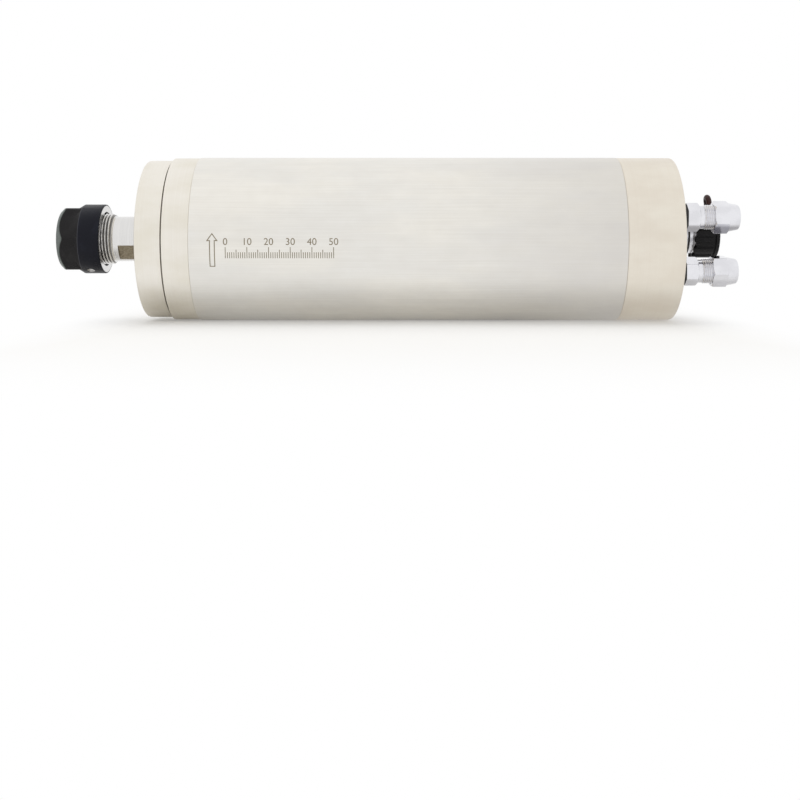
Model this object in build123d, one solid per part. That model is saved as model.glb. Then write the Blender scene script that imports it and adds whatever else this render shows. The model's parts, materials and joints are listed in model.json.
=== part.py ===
from build123d import *
import os
from math import cos, pi, radians, sin, sqrt, tan

os.makedirs("parts", exist_ok=True)

# A water-cooled motor spindle with a collet chuck.
# The turning axis is X. The nose with its nut points to -X and the water and power fittings to +X.
# +Z is up. The origin is on the axis, at the middle of the stainless tube. Lengths are millimetres.

# Clearances, each on the radius or across one gap
seat_gap = 0.02          # pieces pressed or screwed together
running_gap = 0.1        # a nut on its thread, the collet in its taper, the cap on its barrel
passing_gap = 0.3        # pieces that turn past each other
air_gap = 0.4            # rotor to stator
edge = 0.5               # small broken edge on turned pieces
cut_spare = 1.0          # how far a drill or cutter runs past the piece it cuts

# Casing
tube_length = 203.5
tube_r = 40.0
tube_wall = 2.0
front_ring_width = 12.5
front_ring_step = 0.3    # how much smaller in radius than the tube
front_cap_width = 13.0
front_cap_step = 1.5
front_cap_round = 1.2
rear_cap_length = 27.0
rear_cap_step = 0.15
rear_cap_round = 1.0
rear_cap_wall = 8.35
rear_cap_floor = 8.0
nose_overhang = 43.0
housing_lip = 3.0        # stop behind the front bearings
cap_spigot = 2.0         # front cap's ring that clamps the bearings
seal_section = 2.0       # square section of the housing seals
rear_seal_setback = 2.5  # behind the cross holes
clamp_gap = 0.1          # front cap's ring inside the housing's bearing bore

# Bearings: bore, outside and width
front_bore_r, front_outer_r, front_width = 12.5, 23.5, 12.0
rear_bore_r, rear_outer_r, rear_width = 7.5, 16.0, 9.0
front_ball_share = 0.28864   # ball radius as a share of outside radius less bore radius
rear_ball_share = 0.28
ball_spacing = 1.4       # least distance from ball to ball, in ball diameters
bearing_spacer = 4.0
spring_room = 2.0
ring_wall = 2.9          # land of a bearing ring beside its groove
groove_depth = 0.9
groove_gap = 0.05        # ball to groove
groove_floor_share = 0.3     # half width of the groove's floor, as a share of the ball
groove_edge_share = 0.7      # half width of the groove's mouth
low_land_share = 1 / 3       # height of the low land, as a share of the groove's depth
cage_share = 0.45            # half thickness of a cage
cage_end_gap = 1.0
pocket_gap = 0.1
ball_flat_share = 0.86       # distance of a ball's flat faces from its centre
inner_spacer_wall = 2.5
outer_spacer_wall = 3.0
spring_thickness = 0.7
spring_edge = 0.6
spring_gap = 0.3

# Shaft
neck_r = 11.0
thread_r = 12.5
thread_end_setback = 18.5
thread_start = 0.2       # front end of the shaft behind the collet's taper
thread_front_chamfer = 0.9
thread_rear_chamfer = 1.2
core_stop = 1.0          # seat left behind the rotor's rear ring
flange_r = 14.5
flange_width = 4.25
front_lock_thread_r = 12.0
core_seat_r = 10.0
shaft_rear_r = 9.0
rear_lock_thread_r = 7.0
lock_width = 7.0
front_lock_r = 17.0
rear_lock_r = 11.0
lock_slots = 4
lock_slot_width = 4.0
lock_slot_depth = 2.0
shaft_end_proud = 0.5    # shaft past the rear lock nut
flats_across = 20.0
flats_start = 2.8        # behind the thread's end
flats_length = 7.9
flats_turn = 41.0        # below the horizontal, on the -Y side
slinger_r = 24.3
slinger_thickness = 2.3
slinger_hub_length = 6.0
slinger_hub_gap = 0.5    # less in radius than the shaft's flange

# Collet chuck
collet_length = 31.5
collet_max_r = 10.5
collet_face_r = 8.8
collet_cone = 30.0
collet_taper = 8.0
collet_land = 1.0
collet_groove_width = 2.6
collet_groove_depth = 1.5
collet_recess = 1.0
collet_bore_r = 5.0
collet_slots = 8
collet_slot_width = 0.6
slit_lap = 0.01          # how far a slit runs past the end of the collet
collet_bridge = 4.0      # uncut length at the closed end of each slot
nut_length = 21.25
nut_across = 30.0
nut_hex_length = 7.05
nut_cone_length = 3.3
nut_collar_r = 17.0
nut_face_r = 13.8
nut_lip = 1.4
balance_hole_r = 2.0
balance_hole_depth = 0.8
balance_hole_turn = 66.0
balance_hole_setback = 15.25
nut_thread_chamfer = 0.8
taper_seat_gap = 0.1     # collet's taper less than its front land
collet_room = 1.75       # taper past the collet's rear end
drill_point = 3.8        # cone at the bottom of the taper's bore

# Motor, with its inner radii as shares of the stator's outside radius
core_length = 100.0
core_shift = -5.0
rotor_share = 0.527
slot_floor_share = 0.8413
bar_inner_share = 0.4
bar_outer_share = 0.4984
end_ring_inner_share = 0.381
end_ring_outer_share = 0.5143
stator_slots = 24
slot_mouth_width = 2.0
tooth_tip = 1.4          # thickness of the teeth beside the slots' mouths
slot_inner_width = 3.2
slot_outer_width = 5.2
slot_liner = 0.3
winding_overhang = 17.0
winding_standoff = 1.5
winding_round = 2.0
winding_lap = 1.0        # slot copper inside the end windings
winding_lift = 3.0       # end windings clear of the bore
winding_reach = 2.5      # and over the yoke
rotor_bars = 18
rotor_bar_width = 1.8
end_ring_width = 6.0

# Water jacket
jacket_wall = 6.46
channel_count = 12
channel_width = 9.0
channel_depth = 4.0
channel_land = 8.0       # closed length at each end

# Rear housing
rear_housing_depth = 23.75
rear_lip = 4.0
water_hole_floor = 2.0
cross_hole_r = 2.5         # from the water hole out to the jacket
water_notch_width = 3.6
wire_hole_r = 4.2
wire_setback = 13.38     # in from the rear housing's side

# Fasteners: radius of shank, head radius, head height, socket across flats
screw_r, screw_head_r, screw_head_height, screw_socket = 2.0, 3.5, 4.0, 3.0
front_screw_setback = 7.0    # centres in from the cap's side
rear_screw_setback = 4.25
screw_count = 4
screw_head_sink = 1.0        # heads below the caps' faces
screw_head_gap = 0.2
front_screw_length = 20.0
rear_screw_length = 30.0
small_screw_r, small_head_r, small_head_height = 1.5, 2.7, 1.8
small_head_bevel = 0.6
small_slot_width, small_slot_depth = 0.6, 0.9
small_hole_wall = 2.0        # cap's metal left below the small screws' holes
small_screw_room = 0.2       # below the small screws' ends

# Water fittings, placed by their angle from +Y towards +Z
port_setback = 16.85         # centres in from the rear cap's side
inlet_angle = 153.4
outlet_angle = 222.4
fitting_hex_across = 12.1
fitting_nut_across = 13.8
fitting_seal_r = 6.6
fitting_seal_thickness = 3.6
fitting_hex_length = 5.9
fitting_neck_length = 2.0
fitting_hex_bevel = (0.6, 1.0)   # along X and in radius
nut_hex_bevel = (0.5, 0.9)
fitting_neck_r = 5.5
fitting_thread_r = 5.9
fitting_thread_length = 9.2
fitting_shank_r = 4.8
fitting_shank_length = 12.0
fitting_spigot_r = 2.9
fitting_spigot_length = 6.0
fitting_bore_r = 2.0
fitting_nut_setback = 4.75   # thread left showing
fitting_nut_hex_length = 7.0
fitting_collar_length = 5.2
fitting_collar_r = 6.9
fitting_collar_tip_r = 6.0
hose_r = 4.1
ferrule_length = 2.2
inlet_turns = (35.0, 23.0)   # turn of the body's hexagon and of the nut's
outlet_turns = (32.0, 9.0)
water_tube_r = 2.8
water_tube_bore_r = 2.0
water_tube_socket = 3.0

# Power connector and its cap
connector_circle_r = 14.7
connector_angle = 10.2
connector_gasket = 0.8
connector_flange = 28.0
connector_flange_corner = 4.0
connector_flange_thickness = 2.2
connector_screw_spacing = 21.6
connector_barrel_r = 10.0
connector_bore_r = 8.2
connector_rear_r = 8.9
connector_rear_length = 7.5
connector_tip = 23.5         # from the rear face to the barrel's end
connector_washer_setback = 10.7
connector_washer_width = 0.9
connector_washer_r = 10.5
insert_depth = 8.5           # insert's face below the barrel's end
pin_r = 1.0
pin_circle_r = 4.5
pin_count = 4
pin_stand = 3.5
pin_tail = 1.8
insert_rear_gap = 1.0        # insert inside the sleeve's rear end
flange_lap = 0.5             # flange's hole less than the barrel
lead_r = 1.1
lead_bend_share = 0.45   # of the shorter straight beside a bend
lead_spread = 2.2
lead_first_bend = 2.75       # behind the housing
lead_second_bend = 9.25
cap_setback = 13.75          # open rim from the rear face
cap_length = 12.5
cap_r = 12.2
cap_core_r = 11.5
cap_floor = 2.0
cap_rib_overhang = 1.1
cap_rib_width = 2.9
cap_ribs = 12
cap_rim_width = 1.9
cap_rim_groove = 0.8
loop_r = 1.8
loop_leg_spread = 7.2
loop_height = 2.2            # centre of the arch above the cap's side
loop_setback = 9.0           # from the open rim
loop_foot_share = 0.6        # where the legs start, as a share of the cap's bore

# Stations along the axis, worked out from the sizes above
x_tube_front = -tube_length / 2
x_tube_rear = tube_length / 2
x_ring_front = x_tube_front - front_ring_width
x_cap_front = x_ring_front - front_cap_width
x_nose = x_cap_front - nose_overhang
x_rear_face = x_tube_rear + rear_cap_length
x_cavity_end = x_rear_face - rear_cap_floor
x_bearing_1 = x_ring_front + cap_spigot
x_bearing_2 = x_bearing_1 + front_width + bearing_spacer
x_front_lock = x_bearing_2 + front_width
x_housing_rear = x_front_lock + housing_lip
x_rear_housing = x_tube_rear - rear_housing_depth
x_rear_bearing = x_rear_housing + rear_lip + spring_room
x_rear_lock = x_rear_bearing + rear_width
x_core_front = core_shift - core_length / 2
x_core_rear = core_shift + core_length / 2
x_collet = x_nose + collet_recess
x_collet_land = x_collet + (collet_max_r - collet_face_r) / tan(radians(collet_cone))
x_collet_groove = x_collet_land + collet_land
x_collet_taper = x_collet_groove + collet_groove_width
x_collet_rear = x_collet + collet_length
x_shaft_front = x_collet_taper + thread_start
x_thread_end = x_shaft_front + thread_end_setback
x_nut_rear = x_nose + nut_length
x_slinger_rear = x_cap_front - passing_gap
x_slinger_front = x_slinger_rear - slinger_thickness
x_flange_front = x_bearing_1 - flange_width
x_shaft_rear = x_rear_lock + lock_width + shaft_end_proud
tube_bore_r = tube_r - tube_wall
spigot_r = tube_bore_r - seat_gap
front_ring_r = tube_r - front_ring_step
front_cap_r = tube_r - front_cap_step
rear_cap_r = tube_r - rear_cap_step
front_screw_circle_r = front_cap_r - front_screw_setback
rear_screw_circle_r = rear_cap_r - rear_screw_setback
port_circle_r = rear_cap_r - port_setback
wire_circle_r = spigot_r - wire_setback
water_hole_r = water_tube_r + seat_gap
stator_r = spigot_r - jacket_wall - seat_gap
rotor_r = rotor_share * stator_r
stator_bore_r = rotor_r + air_gap
slot_inner_r = stator_bore_r + tooth_tip
slot_floor_r = slot_floor_share * stator_r
rotor_bar_inner_r = bar_inner_share * stator_r
rotor_bar_outer_r = bar_outer_share * stator_r
end_ring_inner_r = end_ring_inner_share * stator_r
end_ring_outer_r = end_ring_outer_share * stator_r
front_ball_r = front_ball_share * (front_outer_r - front_bore_r)
rear_ball_r = rear_ball_share * (rear_outer_r - rear_bore_r)
front_balls = int(pi * (front_bore_r + front_outer_r) / (2 * front_ball_r * ball_spacing))
rear_balls = int(pi * (rear_bore_r + rear_outer_r) / (2 * rear_ball_r * ball_spacing))
collet_groove_r = collet_max_r - collet_groove_depth
taper_mouth_r = collet_max_r - taper_seat_gap
taper_drop = tan(radians(collet_taper))


def at_angle(radius, angle):
    """The (y, z) point at this radius and at this angle from +Y towards +Z."""
    return radius * cos(radians(angle)), radius * sin(radians(angle))


def turned(*points):
    """A solid turned about the X axis from (x, radius) points."""
    return revolve(make_face(Polyline(*points, close=True)), axis=Axis.X)


def ring(x0, x1, inner_r, outer_r, bevel=0.0):
    """A plain ring about the X axis, with its outer edges bevelled if asked."""
    if not bevel:
        return turned((x0, inner_r), (x1, inner_r), (x1, outer_r), (x0, outer_r))
    return turned(
        (x0, inner_r), (x1, inner_r), (x1, outer_r - bevel),
        (x1 - bevel, outer_r), (x0 + bevel, outer_r), (x0, outer_r - bevel),
    )


def along_x(x0, x1, sketch, centre=(0.0, 0.0)):
    """A sketch drawn in Y and Z about a centre, extruded from x0 to x1."""
    plane = Plane((x0, centre[0], centre[1]), x_dir=(0, 1, 0), z_dir=(1, 0, 0))
    return extrude(plane * sketch, amount=x1 - x0)


def bar(x0, x1, radius, centre=(0.0, 0.0)):
    """A round bar or drill along X."""
    return along_x(x0, x1, Circle(radius), centre)


def hexagon(x0, x1, across, turn=0.0, centre=(0.0, 0.0)):
    """A hexagonal prism along X, its corners towards +Y and -Y before it is turned."""
    return along_x(x0, x1, RegularPolygon(across / 2, 6, major_radius=False, rotation=turn), centre)


def around(piece, count, start=0.0):
    """Copies of a piece spaced evenly about the X axis."""
    return [Rot(start + i * 360 / count, 0, 0) * piece for i in range(count)]


def moved(piece, centre):
    """A piece built on the X axis, shifted to a centre in Y and Z."""
    return Pos(0, centre[0], centre[1]) * piece


def save(node, *pieces):
    """Write the solids of one node to its own file."""
    solids = [solid for piece in pieces for solid in piece.solids()]
    export_step(solids[0] if len(solids) == 1 else Compound(solids), f"parts/{node}.step")


inlet = at_angle(port_circle_r, inlet_angle)
outlet = at_angle(port_circle_r, outlet_angle)
wires = at_angle(wire_circle_r, connector_angle)
connector = at_angle(connector_circle_r, connector_angle)


def socket_screw(x_seat, length, circle_r, angle, towards):
    """A socket-head cap screw whose head sits at x_seat and whose shank runs towards -X or +X."""
    centre = at_angle(circle_r, angle)
    x_head = x_seat - towards * screw_head_height
    head = bar(min(x_seat, x_head), max(x_seat, x_head), screw_head_r, centre)
    x_end = x_seat + towards * length
    shank = bar(min(x_seat, x_end), max(x_seat, x_end), screw_r, centre)
    x_floor = x_head + towards * screw_head_height / 2
    socket = hexagon(min(x_head, x_floor), max(x_head, x_floor), screw_socket, 0, centre)
    return head + shank - socket


screw_angles = [45 + i * 360 / screw_count for i in range(screw_count)]

# Casing


def body_tube():
    return ring(x_tube_front, x_tube_rear, tube_bore_r, tube_r, edge)


def water_jacket():
    """A sleeve with straight channels that are joined in turn at the front and at the rear.

    The first and last channels open at the rear, in line with the two water fittings, so the
    water runs to and fro the long way round.
    """
    x0, x1 = x_housing_rear, x_rear_housing
    sleeve = ring(x0, x1, stator_r + seat_gap, spigot_r)
    step = (360 - (outlet_angle - inlet_angle)) / (channel_count - 1)
    floor_r = spigot_r - channel_depth
    run = Pos(0, floor_r + channel_depth, 0) * Box(
        x1 - x0 - 2 * channel_land, 2 * channel_depth, channel_width
    )
    run = Pos((x0 + x1) / 2, 0, 0) * run
    channels = [Rot(outlet_angle + i * step, 0, 0) * run for i in range(channel_count)]
    crossing = Pos(0, floor_r + channel_depth, 0) * Box(
        channel_width, 2 * channel_depth, 2 * floor_r * tan(radians(step / 2))
    )
    for i in range(channel_count - 1):
        x_turn = x0 + channel_land + channel_width / 2
        if i % 2:
            x_turn = x1 - channel_land - channel_width / 2
        turn = Rot(outlet_angle + (i + 0.5) * step, 0, 0)
        channels.append(turn * (Pos(x_turn, 0, 0) * crossing))
    mouth = Pos(x1 - channel_land, floor_r + channel_depth, 0) * Box(
        2 * channel_land + cut_spare, 2 * channel_depth, water_notch_width
    )
    channels += [Rot(angle, 0, 0) * mouth for angle in (inlet_angle, outlet_angle)]
    return sleeve - channels


def front_screw_drills(radius, x0, x1):
    """Round holes in line with the front cap's screws."""
    return [bar(x0, x1, radius, at_angle(front_screw_circle_r, angle)) for angle in screw_angles]


def rear_screw_drills(radius, x0, x1):
    """Round holes in line with the rear cap's screws."""
    return [bar(x0, x1, radius, at_angle(rear_screw_circle_r, angle)) for angle in screw_angles]


x_front_screw_seat = x_cap_front + screw_head_height + screw_head_sink
x_rear_screw_seat = x_rear_face - screw_head_height - screw_head_sink
head_hole_r = screw_head_r + screw_head_gap
x_front_seal = (x_tube_front + x_housing_rear) / 2
x_water_hole = x_rear_housing + water_hole_floor + cross_hole_r
x_rear_seal = x_water_hole + cross_hole_r + rear_seal_setback


def front_bearing_housing():
    """The ring that shows in front of the tube, with the spigot that holds the bearings."""
    bearing_bore = front_outer_r + seat_gap
    lip_r = front_outer_r - ring_wall
    housing = turned(
        (x_ring_front, bearing_bore), (x_front_lock, bearing_bore), (x_front_lock, lip_r),
        (x_housing_rear, lip_r), (x_housing_rear, spigot_r),
        (x_tube_front, spigot_r), (x_tube_front, front_ring_r - edge),
        (x_tube_front - edge, front_ring_r), (x_ring_front + edge, front_ring_r),
        (x_ring_front, front_ring_r - edge),
    )
    groove = ring(x_front_seal, x_front_seal + seal_section, spigot_r - seal_section, tube_r)
    x_drill_end = x_front_screw_seat + front_screw_length + cut_spare
    return housing - groove - front_screw_drills(screw_r + seat_gap, x_ring_front - cut_spare, x_drill_end)


def front_end_cap():
    """The front cap: a labyrinth for the slinger in its bore and a ring that clamps the bearings."""
    bore = flange_r + passing_gap
    clamp_outer = front_outer_r - clamp_gap
    cap = turned(
        (x_cap_front, bore), (x_bearing_1, bore), (x_bearing_1, front_outer_r - ring_wall),
        (x_bearing_1, clamp_outer), (x_ring_front, clamp_outer),
        (x_ring_front, front_cap_r), (x_cap_front + front_cap_round, front_cap_r),
        (x_cap_front, front_cap_r - front_cap_round),
    )
    relief = ring(x_ring_front - cut_spare, x_bearing_1 + cut_spare, 0.0, front_outer_r - ring_wall)
    heads = [
        bar(x_cap_front - cut_spare, x_front_screw_seat, head_hole_r, point)
        for point in [at_angle(front_screw_circle_r, angle) for angle in screw_angles]
    ]
    return cap - relief - heads - front_screw_drills(screw_r + running_gap, x_cap_front, x_bearing_1)


def rear_bearing_housing():
    """The rear bearing's carrier, with the two water passages and the hole for the leads."""
    bearing_bore = rear_outer_r + seat_gap
    lip_r = rear_outer_r - ring_wall
    housing = turned(
        (x_rear_housing, lip_r), (x_rear_housing + rear_lip, lip_r),
        (x_rear_housing + rear_lip, bearing_bore), (x_tube_rear, bearing_bore),
        (x_tube_rear, spigot_r), (x_rear_housing, spigot_r),
    )
    housing -= ring(x_rear_seal, x_rear_seal + seal_section, spigot_r - seal_section, tube_r)
    for angle in (inlet_angle, outlet_angle):
        housing -= bar(x_water_hole, x_tube_rear, water_hole_r, at_angle(port_circle_r, angle))
        outward = Plane((x_water_hole, *at_angle(port_circle_r, angle)), z_dir=(0, *at_angle(1, angle)))
        housing -= extrude(outward * Circle(cross_hole_r), amount=tube_r - port_circle_r)
        notch = Pos(x_rear_housing, spigot_r, 0) * Box(
            2 * (water_hole_floor + cross_hole_r), 2 * channel_depth, water_notch_width
        )
        housing -= Rot(angle, 0, 0) * notch
    housing -= bar(x_rear_housing, x_tube_rear, wire_hole_r, wires)
    x_drill_end = x_rear_screw_seat - rear_screw_length - cut_spare
    return housing - rear_screw_drills(screw_r + seat_gap, x_drill_end, x_tube_rear)


def rear_end_cap():
    """The deep rear cap that carries the water fittings and the connector."""
    cavity_r = rear_cap_r - rear_cap_wall
    x_cut_end = x_rear_face + cut_spare
    cap = turned(
        (x_tube_rear, cavity_r), (x_cavity_end, cavity_r), (x_cavity_end, 0), (x_rear_face, 0),
        (x_rear_face, rear_cap_r - rear_cap_round), (x_rear_face - rear_cap_round, rear_cap_r),
        (x_tube_rear + edge, rear_cap_r), (x_tube_rear, rear_cap_r - edge),
    )
    for centre in (inlet, outlet):
        cap -= bar(x_cavity_end - cut_spare, x_cut_end, fitting_shank_r + seat_gap, centre)
    cap -= bar(x_cavity_end - cut_spare, x_cut_end, connector_rear_r + running_gap, connector)
    for y, z in connector_screw_points():
        cap -= bar(x_cavity_end + small_hole_wall, x_cut_end, small_screw_r + seat_gap, (y, z))
    heads = [
        bar(x_rear_screw_seat, x_cut_end, head_hole_r, at_angle(rear_screw_circle_r, angle))
        for angle in screw_angles
    ]
    return cap - heads - rear_screw_drills(screw_r + running_gap, x_tube_rear - cut_spare, x_rear_face)


def connector_screw_points():
    """The (y, z) centres of the connector's four screws."""
    half = connector_screw_spacing / 2
    return [(connector[0] + i * half, connector[1] + j * half) for i in (-1, 1) for j in (-1, 1)]


save("body_tube", body_tube())
save("water_jacket", water_jacket())
save("front_bearing_housing", front_bearing_housing())
save("front_end_cap", front_end_cap())
save("rear_bearing_housing", rear_bearing_housing())
save("rear_end_cap", rear_end_cap())
save("front_cap_screws", *[
    socket_screw(x_front_screw_seat, front_screw_length, front_screw_circle_r, angle, 1)
    for angle in screw_angles
])
save("rear_cap_screws", *[
    socket_screw(x_rear_screw_seat, rear_screw_length, rear_screw_circle_r, angle, -1)
    for angle in screw_angles
])
seal_inner_r = spigot_r - seal_section + seat_gap
save("front_housing_seal", ring(
    x_front_seal + seat_gap, x_front_seal + seal_section - seat_gap, seal_inner_r, spigot_r
))
save("rear_housing_seal", ring(
    x_rear_seal + seat_gap, x_rear_seal + seal_section - seat_gap, seal_inner_r, spigot_r
))

# Motor


def sector_slot(inner_r, outer_r, inner_width, outer_width, x0, x1):
    """A straight slot along X whose width changes from its inner to its outer radius."""
    outline = make_face(Polyline(
        (inner_r, -inner_width / 2), (outer_r, -outer_width / 2),
        (outer_r, outer_width / 2), (inner_r, inner_width / 2), close=True,
    ))
    return along_x(x0, x1, outline)


def stator_core():
    """The lamination stack, with slots that are narrow at the bore and wide behind it."""
    core = ring(x_core_front, x_core_rear, stator_bore_r, stator_r)
    mouth = sector_slot(
        stator_bore_r - cut_spare, slot_inner_r + running_gap, slot_mouth_width, slot_mouth_width,
        x_core_front, x_core_rear,
    )
    well = sector_slot(
        slot_inner_r, slot_floor_r, slot_inner_width, slot_outer_width, x_core_front, x_core_rear
    )
    return core - around(mouth + well, stator_slots)


def stator_windings():
    """Copper in every slot, joined by the rounded end windings at both ends."""
    coil = sector_slot(
        slot_inner_r + slot_liner, slot_floor_r - slot_liner,
        slot_inner_width - 2 * slot_liner, slot_outer_width - 2 * slot_liner,
        x_core_front - winding_standoff - winding_lap, x_core_rear + winding_standoff + winding_lap,
    )
    inner_r, outer_r = stator_bore_r + winding_lift, slot_floor_r + winding_reach
    end_turns = ring(
        x_core_rear + winding_standoff, x_core_rear + winding_overhang, inner_r, outer_r, winding_round
    )
    return end_turns + mirror(Pos(-2 * core_shift, 0, 0) * end_turns, Plane.YZ) + around(coil, stator_slots)


def rotor_bar(clearance, x0, x1):
    """One of the cage's bars, or its hole in the rotor when it is given a clearance."""
    width = rotor_bar_width + 2 * clearance
    return sector_slot(
        rotor_bar_inner_r - clearance, rotor_bar_outer_r + clearance, width, width, x0, x1
    )


def rotor_core():
    core = ring(x_core_front, x_core_rear, core_seat_r + seat_gap, rotor_r)
    return core - around(rotor_bar(seat_gap, x_core_front, x_core_rear), rotor_bars)


def rotor_cage():
    """Bars through the rotor, joined by a ring at each end."""
    rings = [
        ring(x_core_front - end_ring_width, x_core_front, end_ring_inner_r, end_ring_outer_r, edge),
        ring(x_core_rear, x_core_rear + end_ring_width, end_ring_inner_r, end_ring_outer_r, edge),
    ]
    bars = around(rotor_bar(0, x_core_front, x_core_rear), rotor_bars)
    return rings[0] + rings[1] + bars


save("stator_core", stator_core())
save("stator_windings", stator_windings())
save("rotor_core", rotor_core())
save("rotor_cage", rotor_cage())

# Bearings


def inner_race(x0, width, bore_r, outer_r, ball_r):
    """An angular-contact inner ring: one full land, one low land, and the groove between them."""
    middle = (bore_r + outer_r) / 2
    groove_r = middle - ball_r
    land_r = groove_r + groove_depth
    x_middle, half_floor = x0 + width / 2, ball_r * groove_floor_share
    return turned(
        (x0, bore_r + seat_gap), (x0 + width, bore_r + seat_gap), (x0 + width, land_r),
        (x_middle + ball_r * groove_edge_share, land_r), (x_middle + half_floor, groove_r - groove_gap),
        (x_middle - half_floor, groove_r - groove_gap), (x0, groove_r + groove_depth * low_land_share),
    )


def outer_race(x0, width, bore_r, outer_r, ball_r):
    """The matching outer ring, with its full land at the other side."""
    middle = (bore_r + outer_r) / 2
    groove_r = middle + ball_r
    land_r = groove_r - groove_depth
    x_middle, half_floor = x0 + width / 2, ball_r * groove_floor_share
    return turned(
        (x0, outer_r), (x0 + width, outer_r), (x0 + width, groove_r - groove_depth * low_land_share),
        (x_middle + half_floor, groove_r + groove_gap), (x_middle - half_floor, groove_r + groove_gap),
        (x_middle - ball_r * groove_edge_share, land_r), (x0, land_r),
    )


def cage(x0, width, bore_r, outer_r, ball_r, count):
    """A ring with a pocket for each ball, open to the rear."""
    middle = (bore_r + outer_r) / 2
    half = ball_r * cage_share
    body = ring(x0 + cage_end_gap, x0 + width - cage_end_gap, middle - half, middle + half)
    pocket_start = x0 + width / 2 - ball_r - pocket_gap
    pocket_width = 2 * (ball_r + pocket_gap)
    pocket = Pos(pocket_start + width / 2, middle, 0) * Box(width, 2 * ball_r, pocket_width)
    return body - around(pocket, count)


def ball(radius):
    """A ball with 26 flat faces whose corners lie on the sphere."""
    flat = radius * ball_flat_share
    drum = extrude(RegularPolygon(flat, 8, major_radius=False, rotation=22.5), amount=flat, both=True)
    return chamfer(drum.edges().filter_by(Plane.XY), flat * (2 - sqrt(2)))


def ball_row(x0, width, bore_r, outer_r, ball_r, count):
    """The balls of one bearing, spaced evenly on its pitch circle."""
    return around(Pos(x0 + width / 2, (bore_r + outer_r) / 2, 0) * ball(ball_r - groove_gap), count)


front_size = (front_width, front_bore_r, front_outer_r, front_ball_r)
rear_size = (rear_width, rear_bore_r, rear_outer_r, rear_ball_r)
front_seats = (x_bearing_1, x_bearing_2)
save("front_bearing_inner_rings", *[inner_race(x, *front_size) for x in front_seats])
save("front_bearing_outer_rings", *[outer_race(x, *front_size) for x in front_seats])
save("front_bearing_cages", *[cage(x, *front_size, front_balls) for x in front_seats])
save("front_bearing_balls", *[piece for x in front_seats for piece in ball_row(x, *front_size, front_balls)])
save("rear_bearing_inner_ring", inner_race(x_rear_bearing, *rear_size))
save("rear_bearing_outer_ring", outer_race(x_rear_bearing, *rear_size))
save("rear_bearing_cage", cage(x_rear_bearing, *rear_size, rear_balls))
save("rear_bearing_balls", *ball_row(x_rear_bearing, *rear_size, rear_balls))

x_spacer = x_bearing_1 + front_width
save("front_inner_spacer", ring(
    x_spacer, x_spacer + bearing_spacer, front_bore_r + seat_gap, front_bore_r + inner_spacer_wall
))
save("front_outer_spacer", ring(
    x_spacer, x_spacer + bearing_spacer, front_outer_r - outer_spacer_wall, front_outer_r
))


def preload_spring():
    """A coned washer that pushes the rear bearing's outer ring to the rear."""
    x0, x1 = x_rear_housing + rear_lip, x_rear_bearing
    inner_r, outer_r = rear_outer_r - ring_wall + spring_gap, rear_outer_r - spring_gap
    return turned(
        (x0, inner_r), (x0 + spring_thickness, inner_r), (x1, outer_r - spring_edge), (x1, outer_r),
        (x1 - spring_thickness, outer_r), (x0, inner_r + spring_edge),
    )


save("preload_spring", preload_spring())

# Shaft and what is fixed to it


def spindle_shaft():
    """One turned piece: collet taper and thread, neck with flats, bearing and rotor seats."""
    x_bore_end = x_collet_rear + collet_room
    mouth_r = taper_mouth_r + running_gap + thread_start * taper_drop
    bore_end_r = mouth_r - taper_drop * (x_bore_end - x_shaft_front)
    x_core_end = x_core_rear + end_ring_width + core_stop
    shaft = turned(
        (x_shaft_front, mouth_r), (x_bore_end, bore_end_r), (x_bore_end + drill_point, 0),
        (x_shaft_rear, 0), (x_shaft_rear, rear_lock_thread_r - edge),
        (x_shaft_rear - edge, rear_lock_thread_r), (x_rear_lock, rear_lock_thread_r),
        (x_rear_lock, rear_bore_r), (x_rear_bearing, rear_bore_r),
        (x_rear_bearing, shaft_rear_r), (x_core_end, shaft_rear_r),
        (x_core_end, core_seat_r), (x_core_front, core_seat_r),
        (x_core_front, end_ring_inner_r - passing_gap),
        (x_front_lock + lock_width, front_lock_thread_r), (x_front_lock, front_lock_thread_r),
        (x_front_lock, front_bore_r), (x_bearing_1, front_bore_r),
        (x_bearing_1, flange_r), (x_flange_front, flange_r), (x_flange_front, neck_r),
        (x_thread_end, neck_r), (x_thread_end - thread_rear_chamfer, thread_r),
        (x_shaft_front + thread_front_chamfer, thread_r), (x_shaft_front, thread_r - thread_front_chamfer),
    )
    x_flats = x_thread_end + flats_start
    for side in (-1, 1):
        waste = Box(flats_length, neck_r, 4 * neck_r)
        waste = Pos(x_flats + flats_length / 2, side * (flats_across + neck_r) / 2, 0) * waste
        shaft -= Rot(flats_turn, 0, 0) * waste
    return shaft


def lock_nut(x0, bore_r, outer_r):
    """A slotted round nut."""
    nut = ring(x0, x0 + lock_width, bore_r + seat_gap, outer_r, edge)
    slot = Pos(x0 + lock_width, outer_r, 0) * Box(2 * lock_width, 2 * lock_slot_depth, lock_slot_width)
    return nut - around(slot, lock_slots)


def front_slinger():
    """The thin disc that throws off coolant, with its hub in the front cap's bore."""
    hub_r = flange_r - slinger_hub_gap
    return turned(
        (x_slinger_front, neck_r + seat_gap), (x_slinger_rear + slinger_hub_length, neck_r + seat_gap),
        (x_slinger_rear + slinger_hub_length, hub_r), (x_slinger_rear, hub_r),
        (x_slinger_rear, slinger_r), (x_slinger_front + edge, slinger_r),
        (x_slinger_front, slinger_r - edge),
    )


save("spindle_shaft", spindle_shaft())
save("front_slinger", front_slinger())
save("front_lock_nut", lock_nut(x_front_lock, front_lock_thread_r, front_lock_r))
save("rear_lock_nut", lock_nut(x_rear_lock, rear_lock_thread_r, rear_lock_r))

# Collet chuck


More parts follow.
